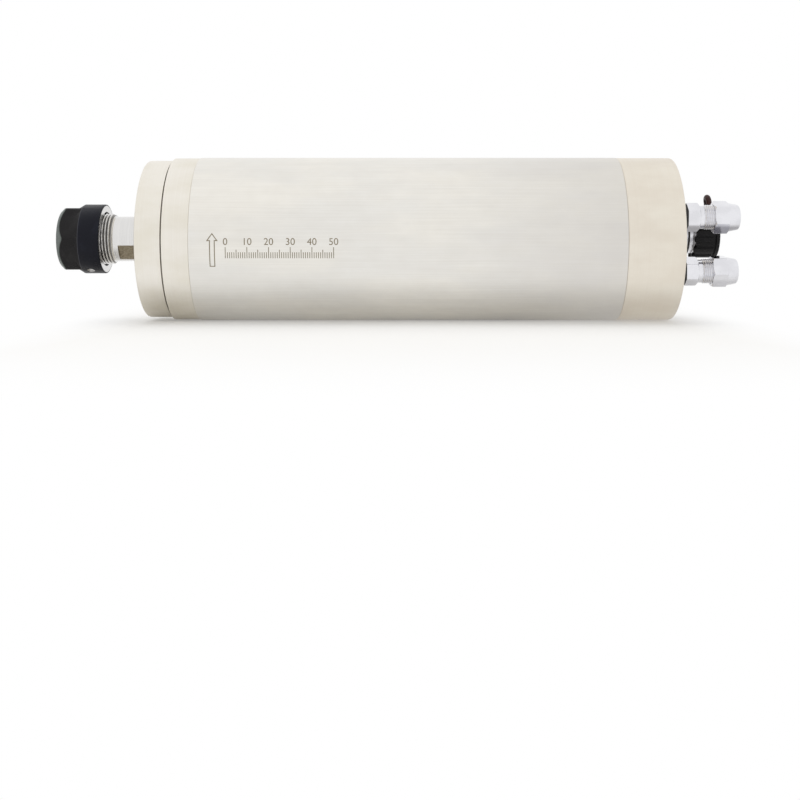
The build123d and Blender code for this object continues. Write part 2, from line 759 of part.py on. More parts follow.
def collet():
    """A double-taper collet, slit from each end in turn so that it closes evenly."""
    rear_r = taper_mouth_r - taper_drop * (x_collet_rear - x_collet_taper)
    blank = turned(
        (x_collet, collet_bore_r), (x_collet_rear, collet_bore_r), (x_collet_rear, rear_r),
        (x_collet_taper, taper_mouth_r), (x_collet_taper, collet_groove_r),
        (x_collet_groove, collet_groove_r), (x_collet_groove, collet_max_r),
        (x_collet_land, collet_max_r), (x_collet, collet_face_r),
    )
    slit_length = collet_length - collet_bridge
    slit = Pos(0, collet_max_r, 0) * Box(slit_length, 2 * collet_max_r, collet_slot_width)
    from_front = Pos(x_collet + slit_length / 2 - slit_lap, 0, 0) * slit
    from_rear = Pos(x_collet_rear - slit_length / 2 + slit_lap, 0, 0) * slit
    half_step = 180 / collet_slots
    return blank - around(from_front, collet_slots) - around(from_rear, collet_slots, half_step)


def collet_nut():
    """The clamping nut: hexagon, round collar, and inside a cone, a lip and the thread's bore."""
    corner_r = nut_across / sqrt(3)
    x_hex_end = x_nose + nut_hex_length
    x_collar = x_hex_end + nut_cone_length
    chamfer_length = corner_r - nut_face_r
    envelope = turned(
        (x_nose, 0), (x_collar, 0), (x_collar, corner_r + cut_spare),
        (x_nose + chamfer_length + cut_spare, corner_r + cut_spare), (x_nose, nut_face_r),
    )
    head = hexagon(x_nose, x_collar, nut_across) & envelope
    collar = turned(
        (x_hex_end, 0), (x_nut_rear, 0), (x_nut_rear, nut_collar_r - edge),
        (x_nut_rear - edge, nut_collar_r), (x_collar, nut_collar_r),
        (x_hex_end, nut_across / 2),
    )
    gap = running_gap
    slope = tan(radians(collet_cone))
    x_lip = x_collet_groove + passing_gap
    inside = turned(
        (x_nose - cut_spare, 0),
        (x_nose - cut_spare, collet_face_r + gap - (collet_recess + cut_spare) * slope),
        (x_collet_land, collet_max_r + gap), (x_lip, collet_max_r + gap),
        (x_lip, collet_groove_r + passing_gap), (x_lip + nut_lip, collet_groove_r + passing_gap),
        (x_lip + nut_lip, thread_r + gap), (x_nut_rear - nut_thread_chamfer, thread_r + gap),
        (x_nut_rear, thread_r + nut_thread_chamfer + gap),
        (x_nut_rear + cut_spare, thread_r + nut_thread_chamfer + gap), (x_nut_rear + cut_spare, 0),
    )
    drill = Plane(
        (x_nose + balance_hole_setback, 0, 0),
        z_dir=(0, -cos(radians(balance_hole_turn)), -sin(radians(balance_hole_turn))),
    )
    drill = drill.offset(nut_collar_r - balance_hole_depth)
    return head + collar - inside - extrude(drill * Circle(balance_hole_r), amount=nut_collar_r)


save("collet", collet())
save("collet_nut", collet_nut())

# Water fittings

x_fitting = x_rear_face + fitting_seal_thickness
x_fitting_neck = x_fitting + fitting_hex_length
x_fitting_thread = x_fitting_neck + fitting_neck_length
x_fitting_end = x_fitting_thread + fitting_thread_length
x_fitting_shank = x_rear_face - fitting_shank_length
x_fitting_nut = x_fitting_thread + fitting_nut_setback
x_ferrule_end = x_fitting_end + seat_gap + ferrule_length
x_collar = x_fitting_nut + fitting_nut_hex_length
x_fitting_tip = x_collar + fitting_collar_length


def fitting_body(turn):
    """A water nipple: shank in the rear cap, hexagon, thread for the nut, spigot for the hose."""
    shank = turned(
        (x_fitting_shank, 0), (x_fitting_shank, fitting_shank_r), (x_fitting, fitting_shank_r),
        (x_fitting, fitting_neck_r), (x_fitting_thread, fitting_neck_r),
        (x_fitting_thread, fitting_thread_r - edge), (x_fitting_thread + edge, fitting_thread_r),
        (x_fitting_end - edge, fitting_thread_r), (x_fitting_end, fitting_thread_r - edge),
        (x_fitting_end, fitting_spigot_r), (x_fitting_end + fitting_spigot_length - edge, fitting_spigot_r),
        (x_fitting_end + fitting_spigot_length, fitting_spigot_r - edge),
        (x_fitting_end + fitting_spigot_length, 0),
    )
    corner_r = fitting_hex_across / sqrt(3)
    bevel_length, bevel_depth = fitting_hex_bevel
    envelope = turned(
        (x_fitting, 0), (x_fitting, corner_r), (x_fitting_neck - bevel_length, corner_r),
        (x_fitting_neck, corner_r - bevel_depth), (x_fitting_neck, 0),
    )
    head = hexagon(x_fitting, x_fitting_neck, fitting_hex_across, turn) & envelope
    water_way = bar(x_fitting_shank, x_fitting_end + fitting_spigot_length, fitting_bore_r)
    tube_seat = bar(x_fitting_shank, x_fitting_shank + water_tube_socket, water_tube_r + seat_gap)
    return shank + head - water_way - tube_seat


def fitting_nut(turn):
    """The nut that grips the hose: a hexagon with bevelled corners and a tapered round collar."""
    corner_r = fitting_nut_across / sqrt(3)
    bevel_length, bevel_depth = nut_hex_bevel
    envelope = turned(
        (x_fitting_nut, 0), (x_fitting_nut, corner_r - bevel_depth),
        (x_fitting_nut + bevel_length, corner_r), (x_collar - bevel_length, corner_r),
        (x_collar, corner_r - bevel_depth), (x_collar, 0),
    )
    head = hexagon(x_fitting_nut, x_collar, fitting_nut_across, turn) & envelope
    collar = turned(
        (x_collar - cut_spare, 0), (x_collar - cut_spare, fitting_collar_r), (x_collar, fitting_collar_r),
        (x_fitting_tip - edge, fitting_collar_tip_r), (x_fitting_tip, fitting_collar_tip_r - edge),
        (x_fitting_tip, 0),
    )
    inside = turned(
        (x_fitting_nut, 0), (x_fitting_nut, fitting_thread_r + running_gap),
        (x_ferrule_end + seat_gap, fitting_thread_r + running_gap), (x_ferrule_end + seat_gap, hose_r),
        (x_fitting_tip, hose_r), (x_fitting_tip, 0),
    )
    return head + collar - inside


def ferrule():
    """The loose ring that the nut presses onto the hose."""
    x0 = x_fitting_end + seat_gap
    return turned(
        (x0, hose_r), (x_ferrule_end, hose_r), (x_ferrule_end, fitting_thread_r - seat_gap),
        (x0 + edge, fitting_thread_r - seat_gap), (x0, fitting_thread_r - edge),
    )


def water_tube():
    """The tube that carries water from a fitting to the rear housing."""
    x0 = x_tube_rear - fitting_shank_length
    return turned(
        (x0, water_tube_bore_r), (x_fitting_shank + water_tube_socket, water_tube_bore_r),
        (x_fitting_shank + water_tube_socket, water_tube_r), (x0, water_tube_r),
    )


seal = ring(x_rear_face, x_fitting, fitting_shank_r + seat_gap, fitting_seal_r)
save("water_tubes", *[moved(water_tube(), centre) for centre in (inlet, outlet)])
save("fitting_seals", *[moved(seal, centre) for centre in (inlet, outlet)])
for name, centre, turns in (("inlet", inlet, inlet_turns), ("outlet", outlet, outlet_turns)):
    save(f"{name}_fitting", moved(fitting_body(turns[0]), centre))
    save(f"{name}_ferrule", moved(ferrule(), centre))
    save(f"{name}_nut", moved(fitting_nut(turns[1]), centre))

# Power connector

x_flange = x_rear_face + connector_gasket
x_barrel = x_flange + connector_flange_thickness
x_barrel_tip = x_rear_face + connector_tip
x_insert_face = x_barrel_tip - insert_depth
x_insert_rear = x_rear_face - connector_rear_length + insert_rear_gap
x_pin_rear = x_insert_rear - pin_tail
pin_angles = [45 + i * 360 / pin_count for i in range(pin_count)]
pin_points = [at_angle(pin_circle_r, angle) for angle in pin_angles]


def flange_plate(x0, x1, hole_r):
    """The connector's square plate or its gasket, with a round hole and four screw holes."""
    plate = along_x(x0, x1, RectangleRounded(connector_flange, connector_flange, connector_flange_corner))
    plate = moved(plate - bar(x0, x1, hole_r), connector)
    return plate - [bar(x0, x1, small_screw_r + seat_gap, point) for point in connector_screw_points()]


def connector_socket():
    """The metal shell: square flange, threaded barrel outside, plain sleeve through the cap."""
    shell = turned(
        (x_rear_face - connector_rear_length, connector_bore_r), (x_barrel_tip, connector_bore_r),
        (x_barrel_tip, connector_barrel_r - edge), (x_barrel_tip - edge, connector_barrel_r),
        (x_flange, connector_barrel_r), (x_flange, connector_rear_r),
        (x_rear_face - connector_rear_length, connector_rear_r),
    )
    return moved(shell, connector) + flange_plate(x_flange, x_barrel, connector_barrel_r - flange_lap)


def connector_insert():
    """The insulating block that holds the pins."""
    block = bar(x_insert_rear, x_insert_face, connector_bore_r - seat_gap)
    holes = [bar(x_insert_rear, x_insert_face, pin_r + seat_gap, point) for point in pin_points]
    return moved(block - holes, connector)


def pan_head_screw(point):
    """A small screw with a bevelled round head, through the flange into the rear cap."""
    x_top = x_barrel + small_head_height
    x_end = x_cavity_end + small_hole_wall + small_screw_room
    screw = turned(
        (x_end, 0), (x_end, small_screw_r), (x_barrel, small_screw_r), (x_barrel, small_head_r),
        (x_top - small_head_bevel, small_head_r), (x_top, small_head_r - small_head_bevel), (x_top, 0),
    )
    slot = along_x(x_top - small_slot_depth, x_top, Rectangle(small_slot_width, 4 * small_head_r))
    return moved(screw - slot, point)


def phase_lead(pin_point, angle):
    """One insulated lead from the end windings, through the housing, to its pin."""
    spread_y, spread_z = at_angle(lead_spread, angle)
    from_y, from_z = wires[0] + spread_y, wires[1] + spread_z
    to_y, to_z = connector[0] + pin_point[0], connector[1] + pin_point[1]
    points = [
        (x_core_rear + winding_overhang, from_y, from_z),
        (x_tube_rear + lead_first_bend, from_y, from_z),
        (x_tube_rear + lead_second_bend, to_y, to_z),
        (x_pin_rear, to_y, to_z),
    ]
    slant = Vector(*points[2]) - Vector(*points[1])
    bend = radians(slant.get_angle(Vector(1, 0, 0)))
    radius = lead_bend_share * min(slant.length, x_pin_rear - points[2][0]) / tan(bend / 2)
    print(f"lead bend radius {radius:.1f}")
    path = FilletPolyline(*points, radius=radius)
    return sweep(Plane(points[0], z_dir=(1, 0, 0)) * Circle(lead_r), path=path)


save("connector_gasket", flange_plate(x_rear_face, x_flange, connector_rear_r + seat_gap))
save("connector_socket", connector_socket())
save("connector_washer", moved(ring(
    x_rear_face + connector_washer_setback, x_rear_face + connector_washer_setback + connector_washer_width,
    connector_barrel_r + seat_gap, connector_washer_r
), connector))
save("connector_insert", connector_insert())
save("connector_pins", *[
    moved(bar(x_pin_rear, x_insert_face + pin_stand, pin_r, point), connector) for point in pin_points
])
save("connector_screws", *[pan_head_screw(point) for point in connector_screw_points()])
save("phase_leads", *[phase_lead(point, angle) for point, angle in zip(pin_points, pin_angles)])

# Dust cap


def dust_cap():
    """A rubber cap pushed over the barrel, with grip ribs that run past its rim and a carry loop."""
    x_rim = x_rear_face + cap_setback
    x_end = x_rim + cap_length
    bore_r = connector_barrel_r + 2 * running_gap
    cup = turned(
        (x_rim, bore_r), (x_end - cap_floor, bore_r), (x_end - cap_floor, 0), (x_end, 0),
        (x_end, cap_r - edge), (x_end - edge, cap_r), (x_rim, cap_r),
    )
    x_groove = x_end - cap_rim_width - cap_rim_groove
    cup -= ring(x_groove, x_groove + cap_rim_groove, cap_core_r, cap_r + cut_spare)
    gap_width = 2 * pi * cap_r / cap_ribs - cap_rib_width
    flute_length = x_groove - x_rim
    flute = Pos(x_rim + flute_length / 2, cap_core_r + cap_r / 2, 0) * Box(flute_length, cap_r, gap_width)
    notch = Pos(x_rim, cap_r, 0) * Box(2 * cap_rib_overhang, cap_r, gap_width)
    cup -= around(flute + notch, cap_ribs)
    return moved(cup, connector) + carry_loop(x_rim + loop_setback, bore_r)


def carry_loop(x, bore_r):
    """A round arch on the cap's upper side, cut off at the cap's bore."""
    half = loop_leg_spread / 2
    plane = Plane((x, connector[0], connector[1]), x_dir=(0, 1, 0), z_dir=(1, 0, 0))
    z_arch = cap_r + loop_height
    z_foot = bore_r * loop_foot_share
    path = plane * (
        Line((-half, z_foot), (-half, z_arch))
        + RadiusArc((-half, z_arch), (half, z_arch), half)
        + Line((half, z_arch), (half, z_foot))
    )
    start = Plane((x, connector[0] - half, connector[1] + z_foot), z_dir=(0, 0, 1))
    loop = sweep(start * Circle(loop_r), path=path)
    return loop - bar(x - cap_r, x + cap_r, bore_r, connector)


save("dust_cap", dust_cap())
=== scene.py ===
# %% [markdown]
# # A water-cooled motor spindle, dressed for a studio picture
#
# The construction model gives every piece its size, its place and the body it moves with. This
# lesson loads it as a fixed frame and then adds what a camera sees: smooth turned surfaces, real
# threads, chamfered hexagons, rubber ribs, and metal that looks ground, plated or blackened.
# Lengths are written in millimetres and turned into metres in one place.

# %% The fixed frame
import json
import math

import bmesh
import bpy
import numpy as np
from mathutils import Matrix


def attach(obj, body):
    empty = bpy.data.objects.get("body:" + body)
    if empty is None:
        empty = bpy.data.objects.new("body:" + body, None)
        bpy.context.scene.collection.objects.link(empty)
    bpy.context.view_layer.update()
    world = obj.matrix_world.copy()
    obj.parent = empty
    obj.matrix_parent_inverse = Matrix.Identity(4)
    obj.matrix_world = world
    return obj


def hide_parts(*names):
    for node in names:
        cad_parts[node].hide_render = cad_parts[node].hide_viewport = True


MM = 0.001
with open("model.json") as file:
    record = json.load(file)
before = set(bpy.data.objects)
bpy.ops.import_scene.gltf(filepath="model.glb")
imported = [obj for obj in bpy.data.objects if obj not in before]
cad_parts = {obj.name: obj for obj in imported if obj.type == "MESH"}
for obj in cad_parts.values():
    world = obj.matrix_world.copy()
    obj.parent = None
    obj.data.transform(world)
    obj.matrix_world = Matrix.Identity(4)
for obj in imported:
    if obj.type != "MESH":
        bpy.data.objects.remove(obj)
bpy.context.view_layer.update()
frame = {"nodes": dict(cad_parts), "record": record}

# %% [markdown]
# ## Camera
#
# The picture was taken square to the spindle's axis, from a little over half a metre away, with
# the spindle above the middle of the frame. Tilting the camera would make the tube's sides
# converge, so it stays level and the lens is shifted, as on a view camera. The distance came
# from how much nearer the rims look than the axis does, and the lens from the tube's height.

# %% The camera and its shift
frame_px = 800.0
axis_px = (408.4, 238.9)          # where the axis and the origin lie in the picture
stand_off = 590.0                 # camera to axis
half_height_px = 81.1             # half the tube's height in the picture
casing_r = 40.0
focal_px = half_height_px / casing_r * math.sqrt(stand_off**2 - casing_r**2)

camera_data = bpy.data.cameras.new("camera")
camera_data.sensor_width = 36.0
camera_data.lens = focal_px / frame_px * camera_data.sensor_width
camera_data.shift_x = (frame_px / 2 - axis_px[0]) / frame_px
camera_data.shift_y = (axis_px[1] - frame_px / 2) / frame_px
camera_data.clip_start, camera_data.clip_end = 0.01, 50.0
camera = bpy.data.objects.new("camera", camera_data)
camera.location = (0.0, -stand_off * MM, 0.0)
camera.rotation_euler = (math.pi / 2, 0.0, 0.0)
bpy.context.scene.collection.objects.link(camera)
bpy.context.scene.camera = camera
print("lens %.1f mm, shift %.3f %.3f" % (camera_data.lens, camera_data.shift_x, camera_data.shift_y))

# %% [markdown]
# ## Shader maths in Python
#
# A finish such as ground steel is arithmetic on noise. Wiring Math nodes by hand hides that
# arithmetic, so one small class stands for a socket and lets Python's operators add the nodes.
# Everything that isn't arithmetic goes through one method that adds any node by its type.

# %% A wire that can be added, multiplied and compared


class Wire:
    """An output socket on a bench; arithmetic on it adds Math nodes to the same bench."""

    def __init__(self, bench, socket):
        self.bench, self.socket = bench, socket

    def part(self, number):
        """Another output of the same node."""
        return Wire(self.bench, self.socket.node.outputs[number])

    def math(self, operation, *others):
        values = dict(enumerate((self, *others)))
        return self.bench.add("ShaderNodeMath", {"operation": operation}, values)

    def turned_math(self, operation, other):
        return self.bench.add("ShaderNodeMath", {"operation": operation}, {0: other, 1: self})

    def __add__(self, other):
        return self.math("ADD", other)

    def __sub__(self, other):
        return self.math("SUBTRACT", other)

    def __mul__(self, other):
        return self.math("MULTIPLY", other)

    def __truediv__(self, other):
        return self.math("DIVIDE", other)

    def __pow__(self, other):
        return self.math("POWER", other)

    def __rsub__(self, other):
        return self.turned_math("SUBTRACT", other)

    def __rtruediv__(self, other):
        return self.turned_math("DIVIDE", other)

    __radd__ = __add__
    __rmul__ = __mul__

    def between(self, low, high):
        """0 below low, 1 above high, and a smooth rise from one to the other."""
        settings = {"interpolation_type": "SMOOTHSTEP"}
        return self.bench.add("ShaderNodeMapRange", settings, {0: self, 1: low, 2: high})


print("wires add, subtract, multiply, divide, raise and compare")

# %% A bench where nodes are put together


class Bench:
    """A node tree, with one method that adds any node."""

    def __init__(self, tree):
        self.tree = tree
        tree.nodes.clear()

    def add(self, kind, settings=None, sockets=None, output=0):
        """Add a node: its settings first, then a value or a wire for each named or numbered socket."""
        node = self.tree.nodes.new(kind)
        for key, value in (settings or {}).items():
            setattr(node, key, value)
        for key, value in (sockets or {}).items():
            if isinstance(value, Wire):
                self.tree.links.new(value.socket, node.inputs[key])
            else:
                node.inputs[key].default_value = value
        return Wire(self, node.outputs[output]) if len(node.outputs) else node

    def place(self):
        """Object coordinates in metres, which for these pieces are the frame's own."""
        return self.add("ShaderNodeTexCoord", output=3)

    def grain(self, sizes, detail=3.0, roughness=0.55):
        """Noise from 0 to 1 whose features are about this many millimetres along X, Y and Z."""
        stretch = tuple(1.0 / (size * MM) for size in sizes)
        vector = self.add("ShaderNodeVectorMath", {"operation": "MULTIPLY"}, {0: self.place(), 1: stretch})
        sockets = {"Vector": vector, "Scale": 1.0, "Detail": detail, "Roughness": roughness}
        return self.add("ShaderNodeTexNoise", None, sockets)

    def blend(self, mask, first, second):
        """The first colour where the mask is 0 and the second where it is 1."""
        settings = {"data_type": "RGBA"}
        return self.add("ShaderNodeMix", settings, {0: mask, 6: first, 7: second}, output=2)

    def bump(self, height, depth, strength=1.0):
        """A normal from a height of 0 to 1 that stands for this many millimetres."""
        sockets = {"Height": height, "Distance": depth * MM, "Strength": strength}
        return self.add("ShaderNodeBump", None, sockets)


print("bench ready")

# %% Colours and finishes


def colour(red, green, blue):
    """A colour given as it looks in a picture, 0 to 255, made linear for the shader."""
    value = np.array([red, green, blue]) / 255.0
    linear = np.where(value <= 0.04045, value / 12.92, ((value + 0.055) / 1.055) ** 2.4)
    return (*linear.tolist(), 1.0)


def finish(name, recipe, **uniform):
    """A material: the recipe gives what varies over the surface, and uniform values go on sockets."""
    material = bpy.data.materials.new(name)
    material.use_nodes = True
    bench = Bench(material.node_tree)
    sockets = {key.replace("_", " "): value for key, value in uniform.items()}
    sockets.update(recipe(bench))
    surface = bench.add("ShaderNodeBsdfPrincipled", None, sockets)
    bench.add("ShaderNodeOutputMaterial", None, {"Surface": surface})
    return material


print("mid grey, 128 of 255, is %.3f in the shader" % colour(128, 128, 128)[0])

# %% [markdown]
# ## Places that finishes and shapes share
#
# A finish changes where a surface does: painted shade darkens a thread's roots, a flat is browner
# than the neck round it. So these places are written once, and the finishes and the surfaces below
# both take them from here. A place is on X, and a centre is the (y, z) of a line parallel to X.

# %% Shared places and radii
inlet, outlet, connector = (-20.566, 10.298), (-16.984, -15.509), (14.468, 2.603)
ring_front, cap_r, seam_width = -114.25, 38.5, 0.75     # the groove between cap and ring
shaft_thread, neck_r = (-161.6, -144.2), 11.0
flat_start, flat_end = -141.2, -133.3
nose, chamfer_r = -170.25, 13.8                         # the nut's front face and its edge
collar_front, nut_rear, collar_r = -159.1, -149.0, 17.0
drill_x, drill_r, drill_floor = -155.0, 2.0, 16.2       # the nut's drilling, and its floor's radius
drill_turn = math.radians(66.0)
drill_way = (-math.cos(drill_turn), -math.sin(drill_turn))
print("nut from %.1f to %.1f mm, neck %.0f mm thick" % (nose, nut_rear, 2 * neck_r))

# %% [markdown]
# ## Metals
#
# Three families of metal show. The tube is stainless steel, ground along its length and a little
# cloudy, with painted light that makes it brighter towards the nose. The end caps and the front
# ring are turned and satin plated, warmer in tone, with very fine rings left by the tool; the front
# cap and ring are painted lighter than the rear cap, and the groove between them has painted shade.
# The hose fittings are bright nickel, with painted shade underneath and in the thread's roots.
# Each recipe is the same idea: a base colour that drifts slowly, a roughness that varies with the
# grain, and a fine bump.

# %% Measures that the recipes share


def separated(bench):
    """The X, Y and Z of the place in millimetres, as three wires."""
    split = bench.add("ShaderNodeSeparateXYZ", None, {0: bench.place()})
    return split / MM, split.part(1) / MM, split.part(2) / MM


def span(x, start, end, soft=0.08):
    """1 between two places along X and 0 outside them, with soft ends."""
    return x.between(start - soft, start + soft) * (1.0 - x.between(end - soft, end + soft))


def from_line(y, z):
    """The distance from a line parallel to X, from the distances across and up."""
    return (y * y + z * z) ** 0.5


print("measures: place, span, distance from a line")

# %% Ground tube


def ground_tube(bench):
    """Ground along X, with soft clouds, and painted light that makes it brighter towards the nose."""
    cloud = bench.grain((60.0, 22.0, 22.0), detail=4.0).between(0.35, 0.68)
    haze = bench.grain((9.0, 7.0, 7.0), detail=5.0)
    lines = bench.grain((45.0, 0.6, 0.6), detail=3.0)
    x, *_ = separated(bench)
    # Painted light: the tube's colour is lighter towards the nose.
    painted_nose_light = 1.0 - x.between(-10.0, 125.0)
    warm = bench.blend(painted_nose_light, colour(224, 221, 215), colour(242, 239, 232))
    cool = bench.blend(painted_nose_light, colour(217, 214, 210), colour(235, 233, 228))
    tone = bench.blend(cloud, cool, warm)
    tone = bench.blend((lines - 0.5) * 0.35 + (haze - 0.5) * 0.25 + 0.12, tone, colour(205, 199, 188))
    return {
        "Base Color": tone,
        "Roughness": 0.30 + lines * 0.10 + cloud * 0.06,
        "Normal": bench.bump(lines * 0.7 + haze * 0.3, 0.02, 0.35),
    }


tube_steel = finish("ground_stainless", ground_tube, Metallic=1.0)
print("tube:", tube_steel.name, len(tube_steel.node_tree.nodes), "nodes")

# %% Turned caps


def turned_cap(bench):
    """Fine turned rings under satin plating, painted lighter at the nose, painted shade in the cap-ring
    groove.
    """
    rings = bench.grain((0.5, 60.0, 60.0), detail=2.0)
    cloud = bench.grain((26.0, 14.0, 14.0), detail=4.0).between(0.3, 0.7)
    x, y, z = separated(bench)
    radius = from_line(y, z)
    # Painted light: the front cap and ring are painted lighter than the rear cap.
    painted_nose_light = 1.0 - x.between(-50.0, 50.0)
    # Painted shade: the groove's floor between cap and ring is painted dark, duller and rougher.
    groove = span(x, ring_front - seam_width + 0.05, ring_front + 0.05, 0.04)
    shaded_groove_floor = groove * (1.0 - radius.between(cap_r - 0.9, cap_r - 0.3))
    dull = bench.blend(painted_nose_light, colour(227, 219, 206), colour(233, 228, 216))
    clean = bench.blend(painted_nose_light, colour(235, 229, 217), colour(241, 237, 229))
    tone = bench.blend(cloud, dull, clean)
    tone = bench.blend((rings - 0.5) * 0.22 + 0.06, tone, colour(214, 203, 184))
    return {
        "Base Color": bench.blend(shaded_groove_floor, tone, colour(34, 30, 26)),
        "Metallic": 1.0 - shaded_groove_floor * 0.8,
        "Roughness": 0.31 + rings * 0.07 + cloud * 0.05 + shaded_groove_floor * 0.3,
        "Normal": bench.bump(rings, 0.01, 0.25),
    }


cap_metal = finish("turned_cap_metal", turned_cap)
print("caps:", cap_metal.name, len(cap_metal.node_tree.nodes), "nodes")

# %% Bright nickel


def bright_nickel(centre, threaded, root_r, crest_r, rough=0.1, underside_shade=0.0):
    """Nickel round a line parallel to X: painted shade in the thread's roots and on the underside."""

    def recipe(bench):
        haze = bench.grain((9.0, 7.0, 7.0), detail=3.0)
        x, y, z = separated(bench)
        up = z - centre[1]
        radius = from_line(y - centre[0], up)
        # Painted shade in the thread's roots, and a rougher finish there.
        root = span(x, *threaded) * (1.0 - radius.between(root_r, crest_r))
        tone = bench.blend(haze.between(0.35, 0.7), colour(232, 232, 236), colour(222, 222, 226))
        # Painted shade: faces more than about four millimetres below the centre are painted darker.
        tone = bench.blend((up * -1.0).between(3.2, 5.2) * underside_shade, tone, colour(150, 149, 154))
        return {
            "Base Color": bench.blend(root * 0.35, tone, colour(120, 118, 116)),
            "Roughness": rough + haze * 0.06 + root * 0.3,
            "Normal": bench.bump(haze, 0.01, 0.1),
        }

    return recipe


# The thread spans and radii that place painted shade in the roots.
hose_root_shade, barrel_root_shade = ((140.4, 149.4), 5.2, 5.7), ((142.0, 152.0), 9.4, 9.85)
# How much painted shade each fitting gets on its underside.
inlet_recipe = bright_nickel(inlet, *hose_root_shade, underside_shade=0.8)
outlet_recipe = bright_nickel(outlet, *hose_root_shade, underside_shade=0.3)
shell_recipe = bright_nickel(connector, *barrel_root_shade, rough=0.3)
inlet_nickel = finish("inlet_nickel", inlet_recipe, Metallic=1.0)
outlet_nickel = finish("outlet_nickel", outlet_recipe, Metallic=1.0)
nickel = finish("shell_nickel", shell_recipe, Metallic=1.0)
print("nickels:", inlet_nickel.name, outlet_nickel.name, nickel.name)

# %% Plain turned metals


def turned_steel(light, dark, ring_size, rough):
    """Steel or another plain metal with turned rings this many millimetres apart."""

    def recipe(bench):
        rings = bench.grain((ring_size, 40.0, 40.0), detail=2.0)
        spots = bench.grain((3.0, 3.0, 3.0), detail=4.0)
        tone = bench.blend(rings * 0.6 + spots * 0.4, light, dark)
        return {
            "Base Color": tone,
            "Roughness": rough + rings * 0.1 + spots * 0.06,
            "Normal": bench.bump(rings * 0.7 + spots * 0.3, 0.015, 0.4),
        }

    return recipe


def plain_metal(name, light, dark, ring_size, rough):
    """A material of turned metal between two tones."""
    return finish(name, turned_steel(colour(*light), colour(*dark), ring_size, rough), Metallic=1.0)


collet_steel = plain_metal("ground_collet_steel", (205, 204, 202), (168, 167, 165), 0.4, 0.2)
zinc = plain_metal("zinc_screws", (188, 188, 190), (150, 150, 153), 0.5, 0.3)
print("plain metals:", collet_steel.name, zinc.name)

# %% The shaft's steel


def turned_shaft(bench):
    """Bright steel, with painted shade in the thread's roots and two flats that are milled and brown."""
    x, y, z = separated(bench)
    radius = from_line(y, z)
    turning = bench.grain((0.9, 40.0, 40.0), detail=2.0)
    pits = bench.grain((0.7, 0.5, 0.5), detail=5.0)
    # Painted shade in the thread's roots, with a rougher finish there.
    root = span(x, *shaft_thread) * (1.0 - radius.between(11.75, 12.3))
    below_neck = 1.0 - radius.between(neck_r - 0.14, neck_r - 0.02)
    flat = span(x, flat_start - 0.05, flat_end + 0.05) * below_neck
    tone = bench.blend(turning * 0.5, colour(231, 230, 229), colour(196, 194, 191))
    tone = bench.blend(root * 0.72, tone, colour(74, 70, 64))
    brown = bench.blend(pits.between(0.3, 0.7), colour(172, 161, 139), colour(112, 101, 82))
    return {
        "Base Color": bench.blend(flat, tone, brown),
        "Metallic": 1.0 - flat * 0.55,
        "Roughness": 0.17 + turning * 0.06 + flat * 0.38 + root * 0.2,
        "Normal": bench.bump(pits * flat, 0.05, 0.5),
    }


shaft_steel = finish("turned_shaft_steel", turned_shaft)
print("shaft:", shaft_steel.name, len(shaft_steel.node_tree.nodes), "nodes")

# %% Black oxide


def black_oxide(bench):
    """Blackened steel, browner on the hexagon, worn along the collar's edge, with a painted highlight on
    the chamfer.

    The rear face and the drilling are bare.
    """
    x, y, z = separated(bench)
    radius = from_line(y, z)
    spots = bench.grain((1.6, 1.6, 1.6), detail=5.0)
    wipes = bench.grain((6.0, 9.0, 9.0), detail=3.0).between(0.45, 0.75)
    mottle = wipes * 0.7 + spots * 0.3
    on_hexagon = 1.0 - x.between(collar_front - 0.15, collar_front - 0.05)
    rubbed = span(x, collar_front - 0.2, collar_front + 0.15, 0.1) * radius.between(16.2, 16.6)
    blue = bench.blend(mottle, colour(19, 20, 28), colour(29, 31, 41))
    brown = bench.blend(mottle, colour(28, 27, 28), colour(41, 40, 41))
    tone = bench.blend(on_hexagon, blue, brown)
    # Painted highlight: the front chamfer is painted a lighter grey.
    off_chamfer = (x - nose - (radius - chamfer_r)).math("ABSOLUTE")
    chamfer_highlight = 1.0 - off_chamfer.between(0.15, 0.6)
    tone = bench.blend(chamfer_highlight * (0.35 + spots * 0.5), tone, colour(126, 134, 130))
    tone = bench.blend(rubbed * 0.6, tone, colour(78, 78, 84))
    side = y * drill_way[1] - z * drill_way[0]
    off_line = from_line(x - drill_x, side)
    depth = y * drill_way[0] + z * drill_way[1]
    in_drill = 1.0 - off_line.between(drill_r - 0.02, drill_r + 0.06)
    drilling = in_drill * span(depth, drill_floor - 1.2, collar_r - 0.15, 0.05)
    rear_face = x.between(nut_rear - 0.08, nut_rear - 0.02) * (1.0 - radius.between(16.3, 16.45))
    bare = rear_face.math("MAXIMUM", drilling)
    return {
        "Base Color": bench.blend(bare, tone, colour(214, 213, 212)),
        "Metallic": 0.35 + bare * 0.65,
        "Roughness": 0.34 + spots * 0.14 + wipes * 0.05 - bare * 0.22,
        "Normal": bench.bump(spots, 0.02, 0.25),
    }


oxide = finish("black_oxide", black_oxide, Specular_IOR_Level=0.2)
print("nut:", oxide.name, len(oxide.node_tree.nodes), "nodes")

# %% [markdown]
# ## Rubber and the etched marks
#
# The cap on the connector and the seals are black rubber, dull and slightly dusty, and the cap's
# loop is a dark red-brown. Rubber gives back less light at a glance than glossy plastic does, so
# the cap and the loop get a low specular level. The marks on the tube are burnt into the steel,
# brown and matt.

# %% Rubber


